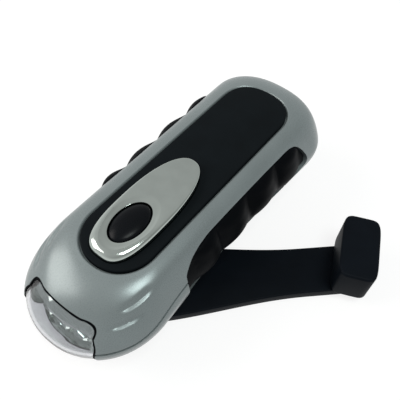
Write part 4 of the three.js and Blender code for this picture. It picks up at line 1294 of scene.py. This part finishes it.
class AddKnob(bpy.types.Operator):
    """Adds the slab knob that turns at the arm's end, and its barbed pin"""

    bl_idname = "flashlight.add_knob"
    bl_label = "Knob"

    def knob_outline(self):
        """Rounded rectangle of the knob, not turned yet."""
        turn = full_turn(KNOB_SIDES)
        x = KNOB_PLACE.x + KNOB_HALF_WIDTH * signed_power(np.cos(turn), 2 / KNOB_EXPONENT)
        y = KNOB_PLACE.y + KNOB_HALF_LENGTH * signed_power(np.sin(turn), 2 / KNOB_EXPONENT)
        return np.stack([x, y], axis=1)

    def add_knob(self, sizes, pin_top):
        barb_low = pin_top - PIN_BARB
        knob = prism("turn_knob", self.knob_outline(), KNOB_LOW.z, KNOB_HIGH.z)
        start_edit(knob)
        pick(knob, "FACE", lambda face: abs(face.normal.z) > LEVEL_FACE)
        bpy.ops.mesh.region_to_loop()
        bpy.ops.mesh.bevel(offset=sizes.knob_round, segments=5)
        bpy.ops.mesh.select_all(action="SELECT")
        bpy.ops.transform.rotate(value=-KNOB_ANGLE, orient_axis="Z", center_override=KNOB_PLACE)
        end_edit()
        combine(knob, rod("socket", PIN_RADIUS + FIT, -OVERRUN, barb_low, KNOB_PLACE))
        combine(knob, rod("barb_room", PIN_BARB_RADIUS + FIT, barb_low - FIT, pin_top + FIT, KNOB_PLACE))
        dressed(knob, finish("crank"), "crank_black", "knob", "knob")

    def add_pin(self, low, high):
        """The pin's flange under the arm, its shank, and the barb that holds the knob."""
        pin = rod("turned_pin", PIN_FLANGE_RADIUS, low, low + PIN_FLANGE, KNOB_PLACE)
        combine(pin, rod("shank", PIN_RADIUS, low, high, KNOB_PLACE), "UNION")
        bpy.ops.mesh.primitive_cone_add(
            vertices=48, radius1=PIN_BARB_RADIUS, radius2=PIN_RADIUS, depth=PIN_BARB,
            location=(*KNOB_PLACE.xy, high - PIN_BARB / 2),
        )
        combine(pin, added("barb"), "UNION")
        soften(pin, PIN_ROUND)
        dressed(pin, finish("steel"), "steel", "crank", "knob_pin")

    def execute(self, context):
        low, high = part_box("knob_pin")
        self.add_knob(context.scene.flashlight_sizes, high.z)
        self.add_pin(low.z, high.z)
        return {"FINISHED"}


class AddScrews(bpy.types.Operator):
    """Adds the threaded screws with their cross recesses"""

    bl_idname = "flashlight.add_screws"
    bl_label = "Screws"

    # Nodes, height of the head, radius of the shank, and whether the heads look up
    KINDS = (
        ([f"case_screw_{number}" for number in SCREW_NUMBERS], CASE_SCREW_HEAD, CASE_SCREW_SHANK, False),
        ([f"frame_screw_{number}" for number in SCREW_NUMBERS], FRAME_SCREW_HEAD, FRAME_SCREW_SHANK, True),
        (["hub_screw"], HUB_SCREW_HEAD, HUB_SCREW_SHANK, False),
    )

    def first_screw(self, length, head_radius, head, shank):
        """A screw with the top of its head at the origin, pointing down."""
        rows = round((length - head) / THREAD_PITCH * THREAD_ROWS)
        turn = full_turn(SCREW_SIDES)
        rings = []
        for row in range(rows + 1):
            share = row / rows
            wave = np.abs((row / THREAD_ROWS - turn / (2 * math.pi)) % 1 - 0.5) * 2
            taper = np.sqrt(1 - np.clip((share - (1 - TIP_SHARE)) / TIP_SHARE, 0, TIP_TAPER_SHARE))
            radius = shank * (1 - THREAD_DEPTH_SHARE * wave) * taper
            outline = oval(radius, radius, 0, turn)
            rings.append(at_height(outline, -head / 2 - (length - head / 2) * share))
        screw = wrapped("screw", np.array(rings))
        cap = rod("screw_head", head_radius, -head, 0)
        soften(cap, head / HEADS_PER_ROUND, 3)
        arm, slot = head_radius * RECESS_REACH_SHARE, head_radius * RECESS_WIDTH_SHARE
        depth = head * RECESS_DEPTH_SHARE
        for long, wide in ((arm, slot), (slot, arm)):
            combine(cap, block("recess", (-long, -wide, -depth), (long, wide, OVERRUN)))
        return combine(screw, cap, "UNION")

    def execute(self, context):
        for nodes, head, shank, heads_up in self.KINDS:
            low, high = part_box(nodes[0])
            model = self.first_screw(high.z - low.z, (high.x - low.x) / 2, head, shank)
            for node in nodes:
                low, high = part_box(node)
                middle = (low + high) / 2
                piece = duplicate(model, f"threaded_{node}")
                piece.location = (middle.x, middle.y, high.z if heads_up else low.z)
                if not heads_up:
                    piece.rotation_euler.x = math.pi
                body = "crank" if node == "hub_screw" else "main"
                dressed(piece, finish("steel"), "steel", body, node, angle=30)
            bpy.data.objects.remove(model)
        return {"FINISHED"}


class AddWorks(bpy.types.Operator):
    """Gives the nodes that keep their shape their finishes"""

    bl_idname = "flashlight.add_works"
    bl_label = "Works"

    NODES_OF_FINISH = {
        "steel": (
            "crank_shaft", "idler_1_pin", "idler_2_pin", "rotor_axle", "rotor_pinion", "stator_can",
            "rotor_bridge", "gear_plate_lower", "battery_contact_left", "battery_contact_right",
            "battery_cell_1", "battery_cell_2", "battery_cell_3",
        ),
        "nylon": ("shaft_bush", "crank_gear", "idler_1", "idler_2", "gear_plate_upper", "switch_plunger"),
        "board": ("switch_board", "lamp_board"),
        "button": ("tact_switch", "battery_holder"),
        "magnet": ("rotor_magnet",),
        "copper": ("stator_coil",),
    }

    def execute(self, context):
        for name, nodes in self.NODES_OF_FINISH.items():
            for node in nodes:
                for slot in frame["nodes"][node].material_slots:
                    slot.material = finish(name)
        return {"FINISHED"}


class AddStage(bpy.types.Operator):
    """Adds the white floor, the soft studio light and the camera"""

    bl_idname = "flashlight.add_stage"
    bl_label = "Studio"

    # Name, direction from the object, power, width and colour of each light
    LIGHTS = (
        ("warm_light", (-0.66, -0.44, 0.61), 2.5, 0.42, (1, 0.95, 0.91)),
        ("top_light", (0.3, -0.05, 0.95), 1.7, 0.22, (0.92, 1, 0.97)),
    )

    # Ceiling that reflections see: its bright side, the range along it and its shares of brightness,
    # and the heights between which it takes over from the white ground
    BRIGHT_SIDE = (-0.8, -0.3, 0.5)
    SIDE_RANGE = (-0.5, 1)
    SIDE_SHARES = (0.6, 1.5)
    RISE = (0.1, 0.7)

    # Nearest distance that the camera sees
    NEAR_CLIP = 10 * MM

    def add_lights(self, stage):
        middle = (Vector(CAD_BOX[0]) + Vector(CAD_BOX[1])) / 2
        for name, direction, power, width, colour in self.LIGHTS:
            away = Vector(direction).normalized()
            bpy.ops.object.light_add(type="AREA", location=middle + away * stage.lamp_distance)
            light = added(name)
            light.rotation_euler = away.to_track_quat("Z", "Y").to_euler()
            light.data.size = width
            light.data.energy = power * stage.lamp_power
            light.data.color = colour

    def add_camera(self, stage):
        azimuth, elevation, roll = stage.azimuth, stage.elevation, stage.roll
        outward = math.cos(elevation)
        back = Vector((math.sin(azimuth) * outward, -math.cos(azimuth) * outward, math.sin(elevation)))
        level = Vector((math.cos(azimuth), math.sin(azimuth), 0))
        upright = back.cross(level)
        right = level * math.cos(roll) + upright * math.sin(roll)
        up = back.cross(right)
        bpy.ops.object.camera_add(location=Vector(stage.target) + back * stage.camera_distance)
        camera = added("camera")
        camera.rotation_euler = Matrix((right, up, back)).transposed().to_euler()
        camera.data.lens = stage.lens
        camera.data.clip_start = self.NEAR_CLIP
        bpy.context.scene.camera = camera

    def add_world(self, stage):
        """A plain sky for the light. The camera sees white, reflections a ceiling bright at one side."""
        world = bpy.data.worlds.new("studio")
        bpy.context.scene.world = world
        world.use_nodes = True
        tree = world.node_tree
        tree.nodes.clear()
        direction = add_node(tree, "ShaderNodeTexCoord").outputs["Generated"]
        height = add_node(tree, "ShaderNodeSeparateXYZ", links={"Vector": direction}).outputs["Z"]
        bright_side = add_node(tree, "ShaderNodeCombineXYZ", dict(zip("XYZ", self.BRIGHT_SIDE)))
        nearness = add_node(
            tree, "ShaderNodeVectorMath", {"operation": "DOT_PRODUCT"},
            {0: direction, 1: bright_side.outputs["Vector"]},
        ).outputs["Value"]
        dim, bright = (stage.ceiling * share for share in self.SIDE_SHARES)
        overhead = spread(tree, nearness, dim, bright, self.SIDE_RANGE)
        ceiling = add_node(
            tree, "ShaderNodeMapRange", {"From Min": self.RISE[0], "From Max": self.RISE[1], "To Min": 1},
            {"Value": height, "To Max": overhead},
        ).outputs["Result"]
        path = add_node(tree, "ShaderNodeLightPath").outputs
        reflected = add_node(
            tree, "ShaderNodeMath", {"operation": "MULTIPLY"}, {0: path["Is Glossy Ray"], 1: ceiling}
        ).outputs["Value"]
        direct = larger(tree, path["Is Camera Ray"], path["Is Transmission Ray"])
        lit = spread(tree, path["Is Diffuse Ray"], 0, stage.sky)
        strength = larger(tree, lit, larger(tree, direct, reflected))
        background = add_node(
            tree, "ShaderNodeBackground", {"Color": (1, 1, 1, 1)}, {"Strength": strength}
        )
        add_node(tree, "ShaderNodeOutputWorld", links={"Surface": background.outputs["Background"]})

    def execute(self, context):
        stage = context.scene.flashlight_stage
        bpy.ops.mesh.primitive_grid_add(
            x_subdivisions=8, y_subdivisions=8, size=stage.floor_size, location=(0, 0, CAD_BOX[0][2])
        )
        floor = added("floor")
        floor.data.materials.append(finish("floor"))
        self.add_lights(stage)
        self.add_camera(stage)
        self.add_world(stage)
        context.scene.view_settings.view_transform = "Standard"
        return {"FINISHED"}


# Settings that a user would change

def length(name, description, default):
    return bpy.props.FloatProperty(name=name, description=description, default=default, unit="LENGTH")


def angle(name, description, default):
    return bpy.props.FloatProperty(name=name, description=description, default=default, subtype="ANGLE")


def factor(name, description, default):
    return bpy.props.FloatProperty(name=name, description=description, default=default, subtype="FACTOR")


def colour(name, description, default):
    return bpy.props.FloatVectorProperty(
        name=name, description=description, subtype="COLOR", default=linear(default)
    )


class FlashlightSizes(bpy.types.PropertyGroup):
    """Sizes of the body's details"""

    wall: length("Wall", "Thickness of the shells", 2 * MM)
    seam: length("Seam", "Width of the groove between the shells", 0.9 * MM)
    crease_depth: length("Crease depth", "Depth of the dip above each crease", 0.5 * MM)
    crease_lip: length("Crease ledge", "Height of the ledge below each crease", 0.15 * MM)
    rubber_grain: length("Rubber detail", "Size of the grips' mesh cells", 0.45 * MM)
    panel_round: length("Panel edge", "Rounding of the panel's rim", 0.6 * MM)
    trim_edge: length("Trim edge", "Rounding of the trim's rim at the tail", 0.5 * MM)
    trim_roll: length("Trim roll", "Rounding of the trim's rim at the nose", 2.6 * MM)
    trim_dish: length("Trim dish", "Depth of the dish round the button", 0.5 * MM)
    button_dome: length("Button dome", "Height of the button's dome", 1.8 * MM)
    arm_round: length("Arm edge", "Rounding of the arm's rims", 0.6 * MM)
    knob_round: length("Knob rims", "Rounding of the knob's top and bottom rims", 1 * MM)


class FlashlightFinishes(bpy.types.PropertyGroup):
    """Colours of the finishes"""

    silver: colour("Silver", "Paint of the shells", "#838c8d")
    soft_black: colour("Panel", "Soft-touch lacquer of the panel", "#0d1215")
    rubber: colour("Rubber", "Rubber of the grips", "#06080b")
    crank_black: colour("Crank", "Plastic of the crank", "#0b1016")
    button_black: colour("Button", "Plastic of the button", "#080b0f")
    chrome: colour("Chrome", "Plating of the trim and reflector", "#b2bab5")
    floor: colour("Floor", "Paper of the studio floor", "#888888")
    floor_glow: factor("Floor glow", "White that the floor shows to the camera and in reflections", 0.82)


class FlashlightStage(bpy.types.PropertyGroup):
    """Camera, lights and floor"""

    azimuth: angle("Azimuth", "Camera's turn from the nose", math.radians(36.17))
    elevation: angle("Elevation", "Camera's height angle", math.radians(55.1))
    roll: angle("Roll", "Camera's lean", math.radians(2.96))
    camera_distance: length("Distance", "From the camera to its target", 171.4 * MM)
    target: bpy.props.FloatVectorProperty(
        name="Target", description="Point at the middle of the view", subtype="XYZ",
        default=(9.3 * MM, 26.5 * MM, 38.9 * MM)
    )
    lens: bpy.props.FloatProperty(name="Lens", description="Focal length in millimetres", default=45.09)
    lamp_distance: length("Light distance", "From the lights to the object", 0.7)
    lamp_power: factor("Light power", "Scales all the lights", 1)
    sky: factor("Sky light", "Strength of the soft light all round", 0.4)
    ceiling: factor("Ceiling", "How bright the ceiling looks in reflections", 0.5)
    floor_size: length("Floor", "Width of the studio floor", 4)


PIECE_OPERATORS = (
    AddShells, AddGrips, AddPanel, AddTrim, AddButton, AddLens, AddLamps,
    AddCrank, AddKnob, AddScrews, AddWorks, AddStage,
)


class FlashlightPanel(bpy.types.Panel):
    """Lists the pieces and their settings"""

    bl_idname = "VIEW3D_PT_flashlight"
    bl_label = "Flashlight"
    bl_space_type = "VIEW_3D"
    bl_region_type = "UI"
    bl_category = "Flashlight"

    def draw(self, context):
        for operator in PIECE_OPERATORS:
            self.layout.operator(operator.bl_idname)
        scene = context.scene
        for group in (scene.flashlight_sizes, scene.flashlight_finishes, scene.flashlight_stage):
            box = self.layout.box()
            for key in group.__annotations__:
                box.prop(group, key)


CLASSES = (FlashlightSizes, FlashlightFinishes, FlashlightStage, *PIECE_OPERATORS, FlashlightPanel)


def register():
    for cls in CLASSES:
        bpy.utils.register_class(cls)
    bpy.types.Scene.flashlight_sizes = bpy.props.PointerProperty(type=FlashlightSizes)
    bpy.types.Scene.flashlight_finishes = bpy.props.PointerProperty(type=FlashlightFinishes)
    bpy.types.Scene.flashlight_stage = bpy.props.PointerProperty(type=FlashlightStage)


def unregister():
    del bpy.types.Scene.flashlight_stage
    del bpy.types.Scene.flashlight_finishes
    del bpy.types.Scene.flashlight_sizes
    for cls in reversed(CLASSES):
        bpy.utils.unregister_class(cls)


def main():
    register()
    pieces = bpy.ops.flashlight
    pieces.add_shells()
    pieces.add_grips()
    pieces.add_panel()
    pieces.add_trim()
    pieces.add_button()
    pieces.add_lens()
    pieces.add_lamps()
    pieces.add_crank()
    pieces.add_knob()
    pieces.add_screws()
    pieces.add_works()
    pieces.add_stage()


if __name__ == "__main__":
    main()
